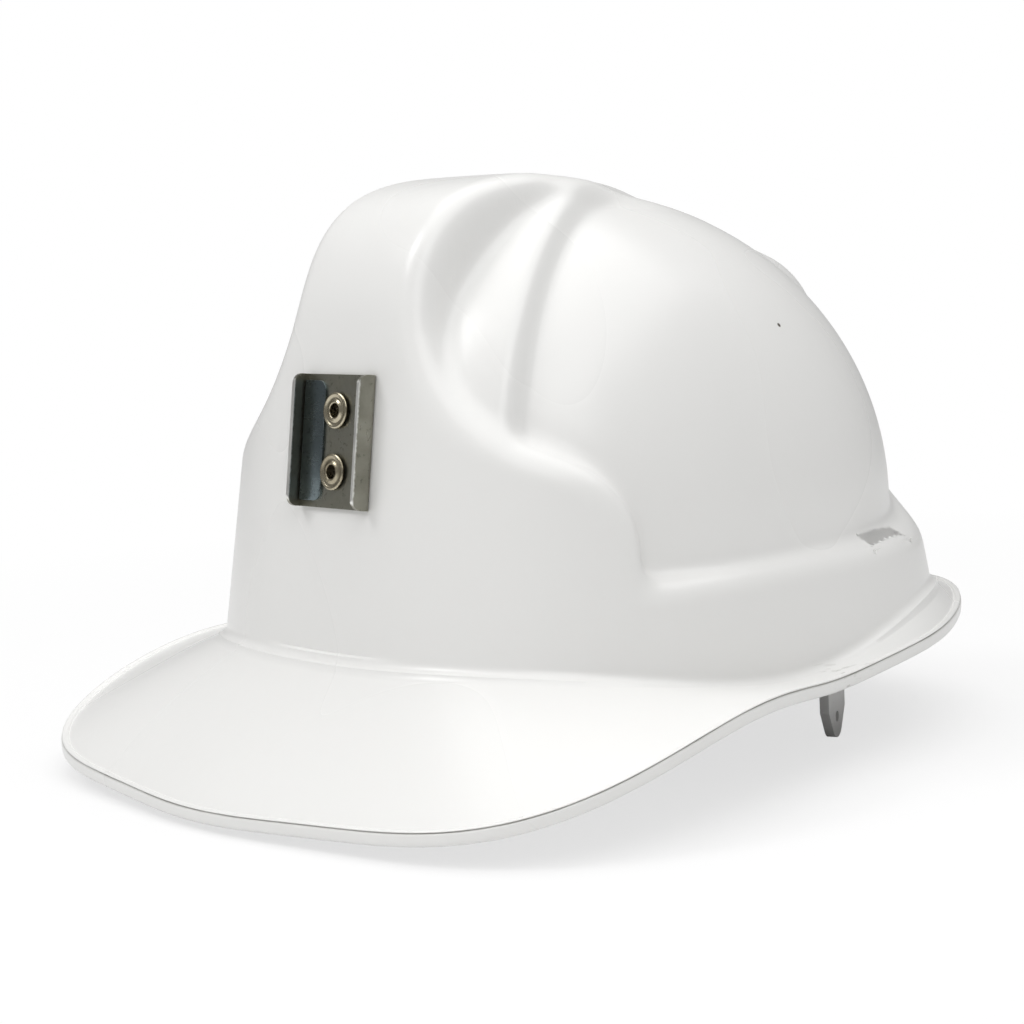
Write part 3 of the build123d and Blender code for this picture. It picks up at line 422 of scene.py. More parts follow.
# Harness dimensions, in millimetres, as in the part's source
strap_reach, strap_width, strap_thickness, strap_crown, strap_gap = 97.0, 19.0, 1.2, 112.0, 0.4
strap_roundness, strap_hem, strap_hem_height = 2.2, 3.4, 5.0
pad_diameter, pad_thickness, pad_gap = 62.0, 4.0, 0.2
head_half_width, head_half_length, head_end_radius = 80.0, 97.0, 68.0
band_thickness, band_front_height, band_side_height, band_bottom = 1.8, 30.0, 18.0, -9.0
band_rise_start, band_rise_end = -68.0, 2.0
brow_pad_reach, brow_pad_thickness, brow_pad_margin = 62.0, 4.0, 1.0
nape_pad_turn, nape_pad_height, nape_pad_thickness, wing_thickness = 26.0, 25.0, 4.0, 1.2
end_offset = head_half_length - head_end_radius
side_radius = ((end_offset ** 2 + head_half_width ** 2 - head_end_radius ** 2)
               / (2 * (head_half_width - head_end_radius)))
side_offset = side_radius - head_half_width
band_out = band_thickness / 2

# Cloth details, in millimetres or as shares of a half width
selvedge_roundness, selvedge_dip, selvedge_place, selvedge_spread = (0.5, 0.35), 0.22, 0.78, 0.9
hem_roundness, hem_pinch, hem_stitch_row, hem_stitch_edge = (0.6, 0.5), 0.25, 1.1, 1.6
pad_edge, pad_seam_place, pad_seam_depth, pad_seam_spread = 0.35, 0.80, 0.20, 0.045
pad_crown_power, pad_crown_root, pad_channel_depth, pad_channel_spread = 3.2, 0.55, 0.34, 1.5
pad_stitch_place, pad_stitch_step, pad_stitch_margin = 0.88, 3.2, 3.0
crown_edge, crown_power, crown_seams = 0.5, 5, ((0.5, 0.30, 0.035), (0.86, 0.22, 0.03))
crown_stitch_rings, crown_sink = ((0.5, 40, 0.30), (0.93, 72, 0.0)), 0.25
strap_thread, pad_thread, crown_thread = (1.5, 0.24), (2.2, 0.27), (1.7, 0.26)


def closed_strip(name, sections, across, along):
    """A closed surface through equal closed sections, with a UV map in metres."""
    count = len(sections[0])
    points = np.concatenate(sections) * MM
    here = np.arange(count)
    after = (here + 1) % count
    faces = []
    for level in range(len(sections) - 1):
        low, high = level * count, (level + 1) * count
        faces += np.stack([low + here, low + after, high + after, high + here], -1).tolist()
    faces.append(here[::-1].tolist())
    faces.append(((len(sections) - 1) * count + here).tolist())
    mesh = bpy.data.meshes.new(name)
    mesh.from_pydata(points.tolist(), [], faces)
    places = np.stack([np.repeat(along, count), np.tile(across, len(sections))], -1) * MM
    loops = np.empty(len(mesh.loops), int)
    mesh.loops.foreach_get("vertex_index", loops)
    mesh.uv_layers.new(name="weave").uv.foreach_set("vector", places[loops].ravel())
    smooth_faces(mesh)
    mesh.update()
    face_outward(mesh)
    mesh.set_sharp_from_angle(angle=math.radians(50))
    return new_object(name, mesh)


def stitches(name, places, ways, outs, length, radius):
    """Rounded thread stitches, one at each place, half sunk into the cloth."""
    made = bmesh.new()
    for place, way, out in zip(places, ways, outs):
        turn = Vector(way).to_track_quat("X", "Z").to_matrix().to_4x4()
        found = bmesh.ops.create_uvsphere(made, u_segments=8, v_segments=6, radius=1.0)["verts"]
        for vertex in found:
            vertex.co.x *= length / 2 * MM
            vertex.co.y *= radius * MM
            vertex.co.z *= radius * MM
        bmesh.ops.transform(made, matrix=turn, verts=found)
        bmesh.ops.translate(made, vec=Vector((np.array(place) + 0.1 * np.array(out)) * MM), verts=found)
    piece = made_object(name, made)
    smooth_faces(piece.data)
    return piece


def arch(lift, turns):
    power = 2 / strap_roundness
    along = rounded(np.cos(turns), power) * (strap_reach + lift)
    return np.stack([along, key_base + np.sin(turns) ** power * (strap_crown - key_base + lift)], -1)


def strap(name, bearing, lift, keys):
    """Webbing from key to key: a flat woven band with rounded selvedges, pulled tight over the head."""
    turns = np.linspace(0, np.pi, 221)
    near_end = np.minimum(turns, np.pi - turns)
    middle = arch(lift * ramp(near_end, 0, np.pi / 14) - strap_thickness / 2, turns)
    drop = np.linspace(key_base - key_shelf - 0.5, key_base, 5)[:-1]
    ends = np.stack([np.full(len(drop), middle[0][0]), drop], -1)
    middle = np.concatenate([ends, middle, ends[::-1] * [-1, 1]])
    slopes = np.gradient(middle, axis=0)
    slopes /= np.linalg.norm(slopes, axis=1)[:, None]
    run = np.concatenate([[0], np.cumsum(np.linalg.norm(np.diff(middle, axis=0), axis=1))])
    way = bearing_way(bearing)
    side = np.array([-way[1], way[0], 0.0])
    edge = np.radians(np.linspace(0, 360, 49)[:-1])
    across = rounded(np.cos(edge), selvedge_roundness[0]) * strap_width / 2
    thick = rounded(np.sin(edge), selvedge_roundness[1]) * strap_thickness / 2
    dip = (np.abs(across) - selvedge_place * strap_width / 2) / selvedge_spread
    thick = thick * (1 - selvedge_dip * np.exp(-dip ** 2))
    sections = []
    for place, slope in zip(middle, slopes):
        out = np.array([slope[1], -slope[0]])
        flat = place[None, :] + thick[:, None] * out
        sections.append(np.array([0, head_centre, 0]) + flat[:, :1] * way + flat[:, 1:] * [0, 0, 1.0]
                        + across[:, None] * side)
    piece = closed_strip(name + "_webbing", sections, across, run)
    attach(piece, "helmet")
    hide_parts(name)
    hems, rows_of = [], []
    for end in (-1, 1):
        centre = np.array([0, head_centre, 0]) + way * end * abs(middle[0][0])
        turn = np.radians(np.linspace(0, 360, 25)[:-1])
        out = rounded(np.cos(turn), hem_roundness[0]) * strap_hem / 2
        middle_height = key_base - key_shelf - strap_hem_height / 2
        up = middle_height + rounded(np.sin(turn), hem_roundness[1]) * strap_hem_height / 2
        parts = []
        for place in np.linspace(-strap_width / 2, strap_width / 2, 21):
            pinch = 1 - hem_pinch * (abs(place) / (strap_width / 2)) ** 8
            parts.append(centre + (pinch * out)[:, None] * way + place * side + up[:, None] * [0, 0, 1.0])
        hem = closed_strip(f"{name}_hem_{'front' if end > 0 else 'rear'}", parts,
                           np.cumsum(np.full(len(turn), 0.6)), np.linspace(0, strap_width, 21))
        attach(hem, "helmet")
        hems.append(hem)
        for face in (-1, 1):
            for row in (-hem_stitch_row, hem_stitch_row):
                reach = strap_width / 2 - hem_stitch_edge
                for place in np.linspace(-reach, reach, 9):
                    seat = centre + way * face * 0.97 * strap_hem / 2
                    rows_of.append((seat + side * place + [0, 0, middle_height + row],
                                    side + [0, 0, 0.3 * row], way * face))
    thread = stitches(name + "_stitching", *zip(*rows_of), *strap_thread)
    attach(thread, "helmet")
    return [piece] + hems, thread


def oval_place(turn, offset):
    """A point of the headband's oval and its outward normal, at a turn from the front."""
    normal = np.array([math.sin(turn), -math.cos(turn), 0.0])
    if abs(turn) < math.pi / 2 - math.atan2(end_offset, side_offset):
        return np.array([0, head_centre - end_offset, 0]) + normal * (head_end_radius + offset), normal
    centre = np.array([-math.copysign(side_offset, turn), head_centre, 0])
    return centre + normal * (side_radius + offset), normal


def pad_strip(name, node, places, normals, lows, highs, depth, channels):
    """A sewn pad along a band: crowned between its edge seams and its cross channels."""
    run = np.concatenate([[0], np.cumsum(np.linalg.norm(np.diff(places, axis=0), axis=1))])
    share = run / run[-1]
    front = np.linspace(-1, 1, 41)
    back = front[::-1][1:-1]
    crown = (1 - np.abs(front) ** pad_crown_power) ** pad_crown_root
    crown -= pad_seam_depth * np.exp(-((np.abs(front) - pad_seam_place) / pad_seam_spread) ** 2)
    inside = np.abs(front) < pad_seam_place - 0.02
    sections = []
    for number, place in enumerate(places):
        end = max(1 - abs(2 * share[number] - 1) ** 26, 0) ** 0.6
        sewn = sum(math.exp(-((share[number] - c) * run[-1] / pad_channel_spread) ** 2) for c in channels)
        channel = 1 - pad_channel_depth * sewn
        wave = 1 + 0.02 * np.sin(run[number] * 1.3 + 4 * front)
        swell = np.clip(crown, 0.04, 1) * end * np.where(inside, channel, 1) * wave
        puff = pad_edge + (depth - pad_edge) * swell
        middle, half = (lows[number] + highs[number]) / 2, (highs[number] - lows[number]) / 2
        inward = np.concatenate([puff, np.full(len(back), 0.02)])
        up = middle + half * np.concatenate([front, back])
        sections.append(place - inward[:, None] * normals[number] + up[:, None] * [0, 0, 1.0])
    piece = closed_strip(name, sections, np.concatenate([front, back]) * np.max(highs - lows) / 2, run)
    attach(piece, "headband")
    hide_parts(node)
    rows_of = []
    for edge in (-pad_stitch_place, pad_stitch_place):
        for spot in np.arange(pad_stitch_margin, run[-1] - pad_stitch_margin, pad_stitch_step):
            number = int(np.argmin(np.abs(run - spot)))
            normal = normals[number]
            middle, half = (lows[number] + highs[number]) / 2, (highs[number] - lows[number]) / 2
            deep = pad_edge + (depth - pad_edge) * (1 - abs(edge) ** pad_crown_power) ** pad_crown_root
            rows_of.append((places[number] - deep * normal + [0, 0, middle + half * edge],
                            np.cross(normal, [0, 0, 1.0]), -normal))
    thread = stitches(name + "_stitching", *zip(*rows_of), *pad_thread)
    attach(thread, "headband")
    return piece, thread


def brow_pad():
    limit = math.pi / 2 - math.asin(brow_pad_reach / 2 / (side_radius - band_out - brow_pad_thickness / 2))
    turns = np.linspace(-limit, limit, 261)
    placed = [oval_place(turn, -band_out - 0.05) for turn in turns]
    places = np.array([place for place, _ in placed])
    normals = np.array([normal for _, normal in placed])
    tall = band_bottom + band_front_height + brow_pad_margin
    short = band_bottom + band_side_height + brow_pad_margin
    highs = tall - (tall - short) * ramp(places[:, 1], band_rise_start, band_rise_end)
    lows = np.full(len(turns), band_bottom - brow_pad_margin)
    return pad_strip("brow_pad_cloth", "brow_pad", places, normals, lows, highs, brow_pad_thickness,
                     np.linspace(0, 1, 16)[1:-1])


def nape_pad():
    turns = np.radians(np.linspace(-nape_pad_turn, nape_pad_turn, 91))
    normals = np.stack([np.sin(turns), np.cos(turns), 0 * turns], -1)
    radius = head_end_radius - band_out - wing_thickness - 0.05
    places = np.array([0, head_centre + end_offset, 0]) + normals * radius
    half = np.full(len(turns), nape_pad_height / 2)
    return pad_strip("nape_pad_cloth", "nape_pad", places, normals, -half, half, nape_pad_thickness,
                     np.linspace(0, 1, 6)[1:-1])


def crown_pad():
    """A round sewn pad that follows the straps where they cross, with two sewn rings."""
    radius = pad_diameter / 2
    count = 120
    angle = np.arange(count) * 2 * np.pi / count
    shares = np.concatenate([np.linspace(0.04, 0.9, 24), np.linspace(0.91, 1.0, 9)])

    def underside(place):
        turn = np.arccos(np.clip((place / (strap_reach - strap_thickness)) ** (strap_roundness / 2), 0, 1))
        return arch(-strap_thickness - pad_gap, turn)[..., 1]

    rings = []
    for share in shares:
        place = radius * share
        rings.append(np.stack([place * np.cos(angle), head_centre + place * np.sin(angle),
                               np.full(count, underside(place) - crown_sink)], -1))
    for share in shares[::-1]:
        place = radius * share
        puff = (1 - share ** crown_power) ** 0.5
        puff -= sum(dip * math.exp(-((share - seam) / spread) ** 2) for seam, dip, spread in crown_seams)
        pucker = 0.025 * np.cos(30 * angle) * math.exp(-((share - 0.68) / 0.2) ** 2)
        spokes = 0.16 * np.exp(-(np.sin(2 * angle) * share * radius / 1.6) ** 2) * (share > 0.5)
        deep = crown_edge + (pad_thickness - crown_edge) * np.clip(puff + pucker - spokes, 0.03, 1)
        rings.append(np.stack([place * np.cos(angle), head_centre + place * np.sin(angle),
                               underside(place) - deep], -1))
    top = float(underside(0.0)) - crown_sink
    poles = [(0, head_centre, top), (0, head_centre, top + crown_sink - pad_thickness)]
    piece = new_object("crown_pad_cloth", stacked("crown_pad_cloth", rings, poles))
    face_outward(piece.data)
    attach(piece, "helmet")
    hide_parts("crown_pad")
    rows_of = []
    for share, number, dip in crown_stitch_rings:
        deep = crown_edge + (pad_thickness - crown_edge) * ((1 - share ** crown_power) ** 0.5 - dip)
        for spot in np.arange(number) * 2 * np.pi / number:
            place = radius * share
            seat = (place * np.cos(spot), head_centre + place * np.sin(spot), float(underside(place)) - deep)
            rows_of.append((seat, np.array([-np.sin(spot), np.cos(spot), 0.0]), np.array([0, 0, -1.0])))
    thread = stitches("crown_pad_stitching", *zip(*rows_of), *crown_thread)
    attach(thread, "helmet")
    return piece, thread


# Materials, with colours as linear shares and the webbing's pitches in metres
# lip_line_shade is painted shade for the lip's groove line.
shell_white, lip_line_shade, scuff_grey, speck_brown = ((0.815, 0.812, 0.797), (0.20, 0.185, 0.165),
                                                   (0.42, 0.41, 0.38), (0.10, 0.085, 0.07))
speck_place, scuffs_place = (0.07474, 0.02891, 0.10524), (0.1153, 0.0110, -0.0020)
fold_width, weave_pitch, yarn_pitch = 0.0024, 0.0011, 0.0008


def new_material(name):
    material = bpy.data.materials.new(name)
    material.use_nodes = True
    tree = material.node_tree
    shader = next(node for node in tree.nodes if node.type == "BSDF_PRINCIPLED")
    return material, tree, shader


def add(tree, kind, **values):
    node = tree.nodes.new(kind)
    for key, value in values.items():
        if key in node.inputs:
            node.inputs[key].default_value = value
        else:
            setattr(node, key, value)
    return node


def math_node(tree, operation, first, second=None):
    node = add(tree, "ShaderNodeMath", operation=operation)
    for number, value in enumerate((first, second)):
        if value is None:
            continue
        if isinstance(value, bpy.types.NodeSocket):
            tree.links.new(value, node.inputs[number])
        else:
            node.inputs[number].default_value = value
    return node.outputs[0]


def place_in(tree):
    return add(tree, "ShaderNodeTexCoord").outputs["Object"]


def noise(tree, scale, detail=3.0, stretch=None):
    """Noise over the object's own place in metres, drawn out along an axis where a stretch is given."""
    node = add(tree, "ShaderNodeTexNoise", Scale=scale, Detail=detail)
    source = place_in(tree)
    if stretch:
        mapping = add(tree, "ShaderNodeMapping")
        mapping.inputs["Scale"].default_value = stretch
        tree.links.new(source, mapping.inputs["Vector"])
        source = mapping.outputs[0]
    tree.links.new(source, node.inputs["Vector"])
    return node.outputs["Fac"]


def between(tree, value, low, high, out_low, out_high):
    node = add(tree, "ShaderNodeMapRange")
    for number, bound in enumerate((low, high, out_low, out_high)):
        node.inputs[number + 1].default_value = bound
    tree.links.new(value, node.inputs[0])
    return node.outputs[0]


def mixed(tree, share, first, second):
    """A mix of two colours, each a colour or another mix."""
    node = add(tree, "ShaderNodeMix", data_type="RGBA")
    tree.links.new(share, node.inputs[0])
    for number, value in ((6, first), (7, second)):
        if isinstance(value, bpy.types.NodeSocket):
            tree.links.new(value, node.inputs[number])
        else:
            node.inputs[number].default_value = (*value, 1)
    return node.outputs[2]


def bumped(tree, shader, layers):
    """Bumps from pairs of a height and its depth in metres."""
    last = None
    for height, depth in layers:
        node = add(tree, "ShaderNodeBump", Strength=1.0, Distance=depth)
        tree.links.new(height, node.inputs["Height"])
        if last is not None:
            tree.links.new(last, node.inputs["Normal"])
        last = node.outputs[0]
    tree.links.new(last, shader.inputs["Normal"])


def spot(tree, centre, radius, softness):
    """1 inside a small ball about a place, 0 outside."""
    node = add(tree, "ShaderNodeVectorMath", operation="DISTANCE")
    tree.links.new(place_in(tree), node.inputs[0])
    node.inputs[1].default_value = centre
    return between(tree, node.outputs["Value"], radius, radius + softness, 1, 0)


def shell_plastic():
    material, tree, shader = new_material("shell_plastic")
    # The lip's groove line is painted darker, with a noisy strength: painted shade.
    groove_shade = add(tree, "ShaderNodeAttribute", attribute_name="lip_line").outputs["Fac"]
    groove_shade = math_node(tree, "MULTIPLY", groove_shade, between(tree, noise(tree, 45.0, 3.0), 0.3, 0.7, 0.45, 0.85))
    tone = mixed(tree, groove_shade, shell_white, lip_line_shade)
    streaks = between(tree, noise(tree, 420.0, 3.0, (1.0, 0.35, 2.6)), 0.58, 0.66, 0, 1)
    scuffs = math_node(tree, "MULTIPLY", streaks, spot(tree, scuffs_place, 0.006, 0.008))
    tone = mixed(tree, math_node(tree, "MULTIPLY", scuffs, 0.5), tone, scuff_grey)
    tone = mixed(tree, spot(tree, speck_place, 0.00055, 0.00035), tone, speck_brown)
    tree.links.new(tone, shader.inputs["Base Color"])
    rough = between(tree, noise(tree, 12.0, 0.0), 0.2, 0.8, 0.25, 0.31)
    tree.links.new(math_node(tree, "ADD", rough, math_node(tree, "MULTIPLY", scuffs, 0.3)),
                   shader.inputs["Roughness"])
    shader.inputs["IOR"].default_value = 1.45
    bumped(tree, shader, [(noise(tree, 160.0, 2.0), 0.00006), (noise(tree, 1500.0, 2.0), 0.000004)])
    return material


def plain_plastic(name, light, dark, low_rough, high_rough, grain):
    """Moulded plastic with a fine spark-eroded grain, rubbed smoother in patches."""
    material, tree, shader = new_material(name)
    tone = mixed(tree, between(tree, noise(tree, 40.0, 4.0), 0.3, 0.7, 0, 1), light, dark)
    flecks = between(tree, noise(tree, 900.0, 2.0), 0.66, 0.72, 0, 0.35)
    tone = mixed(tree, flecks, tone, tuple(0.7 * part for part in dark))
    tree.links.new(tone, shader.inputs["Base Color"])
    tree.links.new(between(tree, noise(tree, 90.0, 5.0), 0.3, 0.7, low_rough, high_rough),
                   shader.inputs["Roughness"])
    bumped(tree, shader, [(noise(tree, 2600.0, 2.0), grain), (noise(tree, 220.0, 3.0), 0.00004)])
    return material


def metal(name, light, dark, low_rough, high_rough, stretch, pits=0.00002):
    """Plated sheet metal: rolled streaks, cloudy plating and small pits."""
    material, tree, shader = new_material(name)
    clouds = between(tree, noise(tree, 110.0, 6.0), 0.34, 0.68, 0, 1)
    tone = mixed(tree, clouds, light, dark)
    spots = between(tree, noise(tree, 700.0, 3.0), 0.62, 0.70, 0, 0.5)
    tone = mixed(tree, spots, tone, tuple(0.45 * part for part in dark))
    tree.links.new(tone, shader.inputs["Base Color"])
    shader.inputs["Metallic"].default_value = 1.0
    streaks = noise(tree, 300.0, 4.0, stretch)
    tree.links.new(between(tree, math_node(tree, "ADD", streaks, clouds), 0.4, 1.5, low_rough, high_rough),
                   shader.inputs["Roughness"])
    bumped(tree, shader, [(streaks, 0.00003), (noise(tree, 1100.0, 3.0), pits)])
    return material


def webbing():
    """Herringbone webbing: slanted ribs that turn back between rows."""
    material, tree, shader = new_material("webbing")
    parts = add(tree, "ShaderNodeSeparateXYZ")
    tree.links.new(add(tree, "ShaderNodeUVMap", uv_map="weave").outputs[0], parts.inputs[0])
    along, across = parts.outputs[0], parts.outputs[1]
    fold = math_node(tree, "PINGPONG", math_node(tree, "ABSOLUTE", across), fold_width)
    slant = math_node(tree, "ADD", along, fold)
    ribs = math_node(tree, "SINE", math_node(tree, "MULTIPLY", slant, 2 * math.pi / weave_pitch))
    yarns = math_node(tree, "SINE", math_node(tree, "MULTIPLY", across, 2 * math.pi / yarn_pitch))
    weave = math_node(tree, "ADD", ribs, math_node(tree, "MULTIPLY", yarns, 0.6))
    share = between(tree, weave, -1.6, 1.6, 0, 1)
    # The tone follows the weave's relief, darker in its grooves and lighter on its ribs: painted shade and
    # painted highlight.
    tone = mixed(tree, share, (0.105, 0.108, 0.118), (0.36, 0.365, 0.38))
    tone = mixed(tree, between(tree, noise(tree, 70.0, 5.0), 0.5, 0.75, 0, 0.35), tone, (0.27, 0.26, 0.245))
    tree.links.new(tone, shader.inputs["Base Color"])
    shader.inputs["Roughness"].default_value = 0.82
    shader.inputs["Sheen Weight"].default_value = 0.25
    shader.inputs["Sheen Roughness"].default_value = 0.45
    bumped(tree, shader, [(share, 0.00022), (noise(tree, 3200.0, 2.0), 0.00004)])
    return material


def pad_cloth():
    """Knitted spacer cloth: small round openings in a soft face."""
    material, tree, shader = new_material("pad_cloth")
    cells = add(tree, "ShaderNodeTexVoronoi", Scale=430.0, Randomness=0.35)
    tree.links.new(place_in(tree), cells.inputs["Vector"])
    # The openings are painted near black: painted shade inside them.
    holes = between(tree, cells.outputs["Distance"], 0.18, 0.42, 0, 1)
    tone = mixed(tree, holes, (0.018, 0.018, 0.02), (0.105, 0.105, 0.112))
    tone = mixed(tree, between(tree, noise(tree, 55.0, 4.0), 0.45, 0.75, 0, 0.5), tone, (0.15, 0.148, 0.145))
    tree.links.new(tone, shader.inputs["Base Color"])
    shader.inputs["Roughness"].default_value = 0.9
    shader.inputs["Sheen Weight"].default_value = 0.35
    shader.inputs["Sheen Roughness"].default_value = 0.5
    bumped(tree, shader, [(holes, 0.0003), (noise(tree, 2400.0, 2.0), 0.00006)])
    return material


def thread_cloth():
    material, tree, shader = new_material("thread")
    twist = noise(tree, 2500.0, 2.0, (1.0, 1.0, 3.0))
    tree.links.new(mixed(tree, between(tree, twist, 0.3, 0.7, 0, 1), (0.30, 0.30, 0.31), (0.48, 0.475, 0.46)),
                   shader.inputs["Base Color"])
    shader.inputs["Roughness"].default_value = 0.7
    shader.inputs["Sheen Weight"].default_value = 0.3
    bumped(tree, shader, [(twist, 0.00008)])
    return material


def highlighted_bracket_zinc():
    """The bracket's plate: zinc with a painted highlight along the free edges of its two walls."""
    material = finishes["zinc"].copy()
    material.name = "bracket_zinc"
    tree = material.node_tree
    shader = next(node for node in tree.nodes if node.type == "BSDF_PRINCIPLED")
    tone = shader.inputs["Base Color"].links[0].from_socket
    # A band along the walls' free edges is painted near white, made ragged by noise: a painted highlight.
    out = add(tree, "ShaderNodeVectorMath", operation="DOT_PRODUCT")
    tree.links.new(place_in(tree), out.inputs[0])
    out.inputs[1].default_value = panel_normal
    height = float(panel_point @ panel_normal) * MM
    nicks = math_node(tree, "MULTIPLY", noise(tree, 900.0, 3.0), 0.0009)
    tip = height + bracket_wall_depth * MM
    edge = between(tree, math_node(tree, "ADD", out.outputs["Value"], nicks),
                   tip - edge_highlight_spread * MM, tip + edge_highlight_spread * MM, 0, 0.9)
    tree.links.new(mixed(tree, edge, tone, (0.86, 0.86, 0.83)), shader.inputs["Base Color"])
    return material


def lathe(name, plane, centres, profile, sides=64):
    """Closed turned rings about a plane's normal, one at each centre, from points of radius and height."""
    origin, across, up, out = (np.array(part) for part in plane)
    turn = np.arange(sides) * 2 * np.pi / sides
    around = np.cos(turn)[:, None] * across + np.sin(turn)[:, None] * up
    points, faces = [], []
    count = len(profile)
    for centre in centres:
        first = len(points)
        for spoke in around:
            points += [(origin + centre * up + radius * spoke + height * out) * MM
                       for radius, height in profile]
        for side in range(sides):
            here, after = first + side * count, first + (side + 1) % sides * count
            for step in range(count):
                follow = (step + 1) % count
                faces.append((here + step, after + step, after + follow, here + follow))
    mesh = bpy.data.meshes.new(name)
    mesh.from_pydata([tuple(point) for point in points], [], faces)
    face_outward(mesh)
    smooth_faces(mesh)
    mesh.set_sharp_from_angle(angle=math.radians(60))
    return new_object(name, mesh)


def smooth_profile(points):
    """A closed outline with each corner rounded by corner cutting."""
    line = np.array(points, float)
    for _ in range(2):
        after = np.roll(line, -1, axis=0)
        line = np.stack([0.8 * line + 0.2 * after, 0.2 * line + 0.8 * after], 1).reshape(-1, 2)
    return line


def eyelets():
    """Hollow rivets: a rolled outer rim, a groove and a raised lip about the bore."""
    seat = bracket_sheet + leaf_sheet
    back = -shell_thickness - washer_gap - washer_thickness
    bore, barrel, flange, curl = (size / 2 for size in (rivet_bore, rivet_barrel, rivet_flange, rivet_curl))
    outline = [(barrel, back), (barrel, seat), (flange, seat), (flange, seat + 0.5),
               (flange - 0.55, seat + 0.78), (flange - 1.3, seat + 0.42), (flange - 1.9, seat + 0.34),
               (bore + 0.95, seat + 0.62), (bore + 0.6, seat + 0.9), (bore + 0.1, seat + 0.82),
               (bore, seat + 0.3), (bore, back - 0.3), (bore + 0.5, back - 0.8),
               (curl - 0.3, back - 0.7), (curl, back - 0.35), (curl - 0.1, back)]
    piece = lathe("bracket_eyelets_turned", lamp_plane, [-rivet_spacing / 2, rivet_spacing / 2],
                  smooth_profile(outline))
    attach(piece, "helmet")
    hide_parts("bracket_eyelets")
    return piece


def leaf():
    """The spring leaf: a thin strip beside the right wall, with rounded corners and ears under the rivets."""
    origin, across, up, out = (np.array(part) for part in lamp_plane)
    right, left = -leaf_edge, -leaf_edge - leaf_width
    half = leaf_height / 2
    made = bmesh.new()
    outline = [(left, -half), (left, half)]
    for side in (1, -1):
        turns = np.radians(np.linspace(90, 0, 9)) * side
        outline += [(right - leaf_corner * (1 - math.cos(turn)), side * (half - leaf_corner)
                     + leaf_corner * math.sin(turn)) for turn in (turns if side > 0 else turns[::-1])]
        if side > 0:
            for centre in (rivet_spacing / 2, -rivet_spacing / 2):
                outline += [(right, centre + leaf_notch[0]), (-leaf_ear, centre + leaf_notch[1]),
                            (-leaf_ear, centre - leaf_notch[1]), (right, centre - leaf_notch[0])]
    low, high = [], []
    for level, height in ((low, bracket_sheet), (high, bracket_sheet + leaf_sheet)):
        for x, y in outline:
            lift = leaf_lift * max(0.0, 1 - abs(x - left) / leaf_bend_width) ** 2 * 0.6
            place = origin + x * across + y * up + (height + lift) * out
            level.append(made.verts.new(Vector(place * MM)))
    made.faces.new(low)
    made.faces.new(high[::-1])
    count = len(outline)
    for number in range(count):
        after = (number + 1) % count
        made.faces.new((low[number], high[number], high[after], low[after]))
    bmesh.ops.recalc_face_normals(made, faces=made.faces[:])
    top_edges = [edge for edge in made.edges if all(vertex in high for vertex in edge.verts)]
    bmesh.ops.bevel(made, geom=top_edges, offset=leaf_bevel * MM, segments=2, profile=0.5, affect="EDGES",
                    clamp_overlap=True)
    piece = made_object("bracket_leaf", made)
    piece.data.set_sharp_from_angle(angle=math.radians(35))
    holes = [rod("leaf_hole", origin + side * rivet_spacing / 2 * up, out, rivet_barrel / 2 + rivet_clearance,
                 4 * bracket_sheet) for side in (-1, 1)]
    combine(piece, holes, "DIFFERENCE")
    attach(piece, "helmet")
    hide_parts("bracket_spring")
    return piece


finishes = {
    "zinc": metal("zinc_plate", (0.33, 0.325, 0.275), (0.23, 0.225, 0.185), 0.26, 0.46, (6.0, 6.0, 0.6)),
    "spring_steel": metal("spring_steel", (0.17, 0.205, 0.215), (0.10, 0.125, 0.135),
                          0.22, 0.36, (0.5, 5.0, 5.0)),
    "nickel": metal("nickel_plate", (0.54, 0.49, 0.37), (0.32, 0.28, 0.20),
                    0.18, 0.36, (4.0, 4.0, 4.0), 0.00001),
    "harness": plain_plastic("harness_plastic", (0.74, 0.735, 0.72), (0.67, 0.665, 0.65),
                             0.34, 0.48, 0.000025),
    "ratchet": plain_plastic("ratchet_plastic", (0.085, 0.086, 0.09), (0.06, 0.061, 0.065),
                             0.38, 0.56, 0.00004),
    "gear": plain_plastic("gear_plastic", (0.72, 0.71, 0.67), (0.66, 0.65, 0.60), 0.28, 0.40, 0.00001),
    "shell": shell_plastic(), "webbing": webbing(), "pad": pad_cloth()}
thread_finish = thread_cloth()


def finish_with(piece, material):
    piece.data.materials.clear()
    piece.data.materials.append(material)


finish_with(shell, finishes["shell"])
straps = {"strap_lower": (-key_bearing, 0.0, ["key_front_left", "key_rear_right"]),
          "strap_upper": (key_bearing - 180, strap_thickness + strap_gap,
                          ["key_front_right", "key_rear_left"])}
for name, values in straps.items():
    cloth, thread = strap(name, *values)
    for piece in cloth:
        finish_with(piece, finishes["webbing"])
    finish_with(thread, thread_finish)
for cloth, thread in (brow_pad(), nape_pad(), crown_pad()):
    finish_with(cloth, finishes["pad"])
    finish_with(thread, thread_finish)
for part in frame["record"]["subparts"]:
    for holder in frame["nodes"][part["node"]].material_slots:
        holder.material = finishes[part["material_slot"]]
# The bracket's zinc carries a painted highlight along its walls' free edges.
for holder in frame["nodes"]["lamp_bracket"].material_slots:
    holder.material = highlighted_bracket_zinc()
finish_with(eyelets(), finishes["nickel"])
finish_with(leaf(), finishes["spring_steel"])


# Studio, with lengths in metres and angles in degrees
floor_half, floor_fade, floor_near_share, ambient = 6.0, (0.16, 0.62), 0.70, 0.25
lamp_target = (0, 0, 0.06)
camera_turn, camera_rise, camera_roll, camera_distance, camera_height = 46.275, 5.76, -2.575, 0.8206, 0.060
image_size, focal_pixels, centre_pixels, sensor_width = 1024, 2440.4, (558.7, 464.8), 36.0


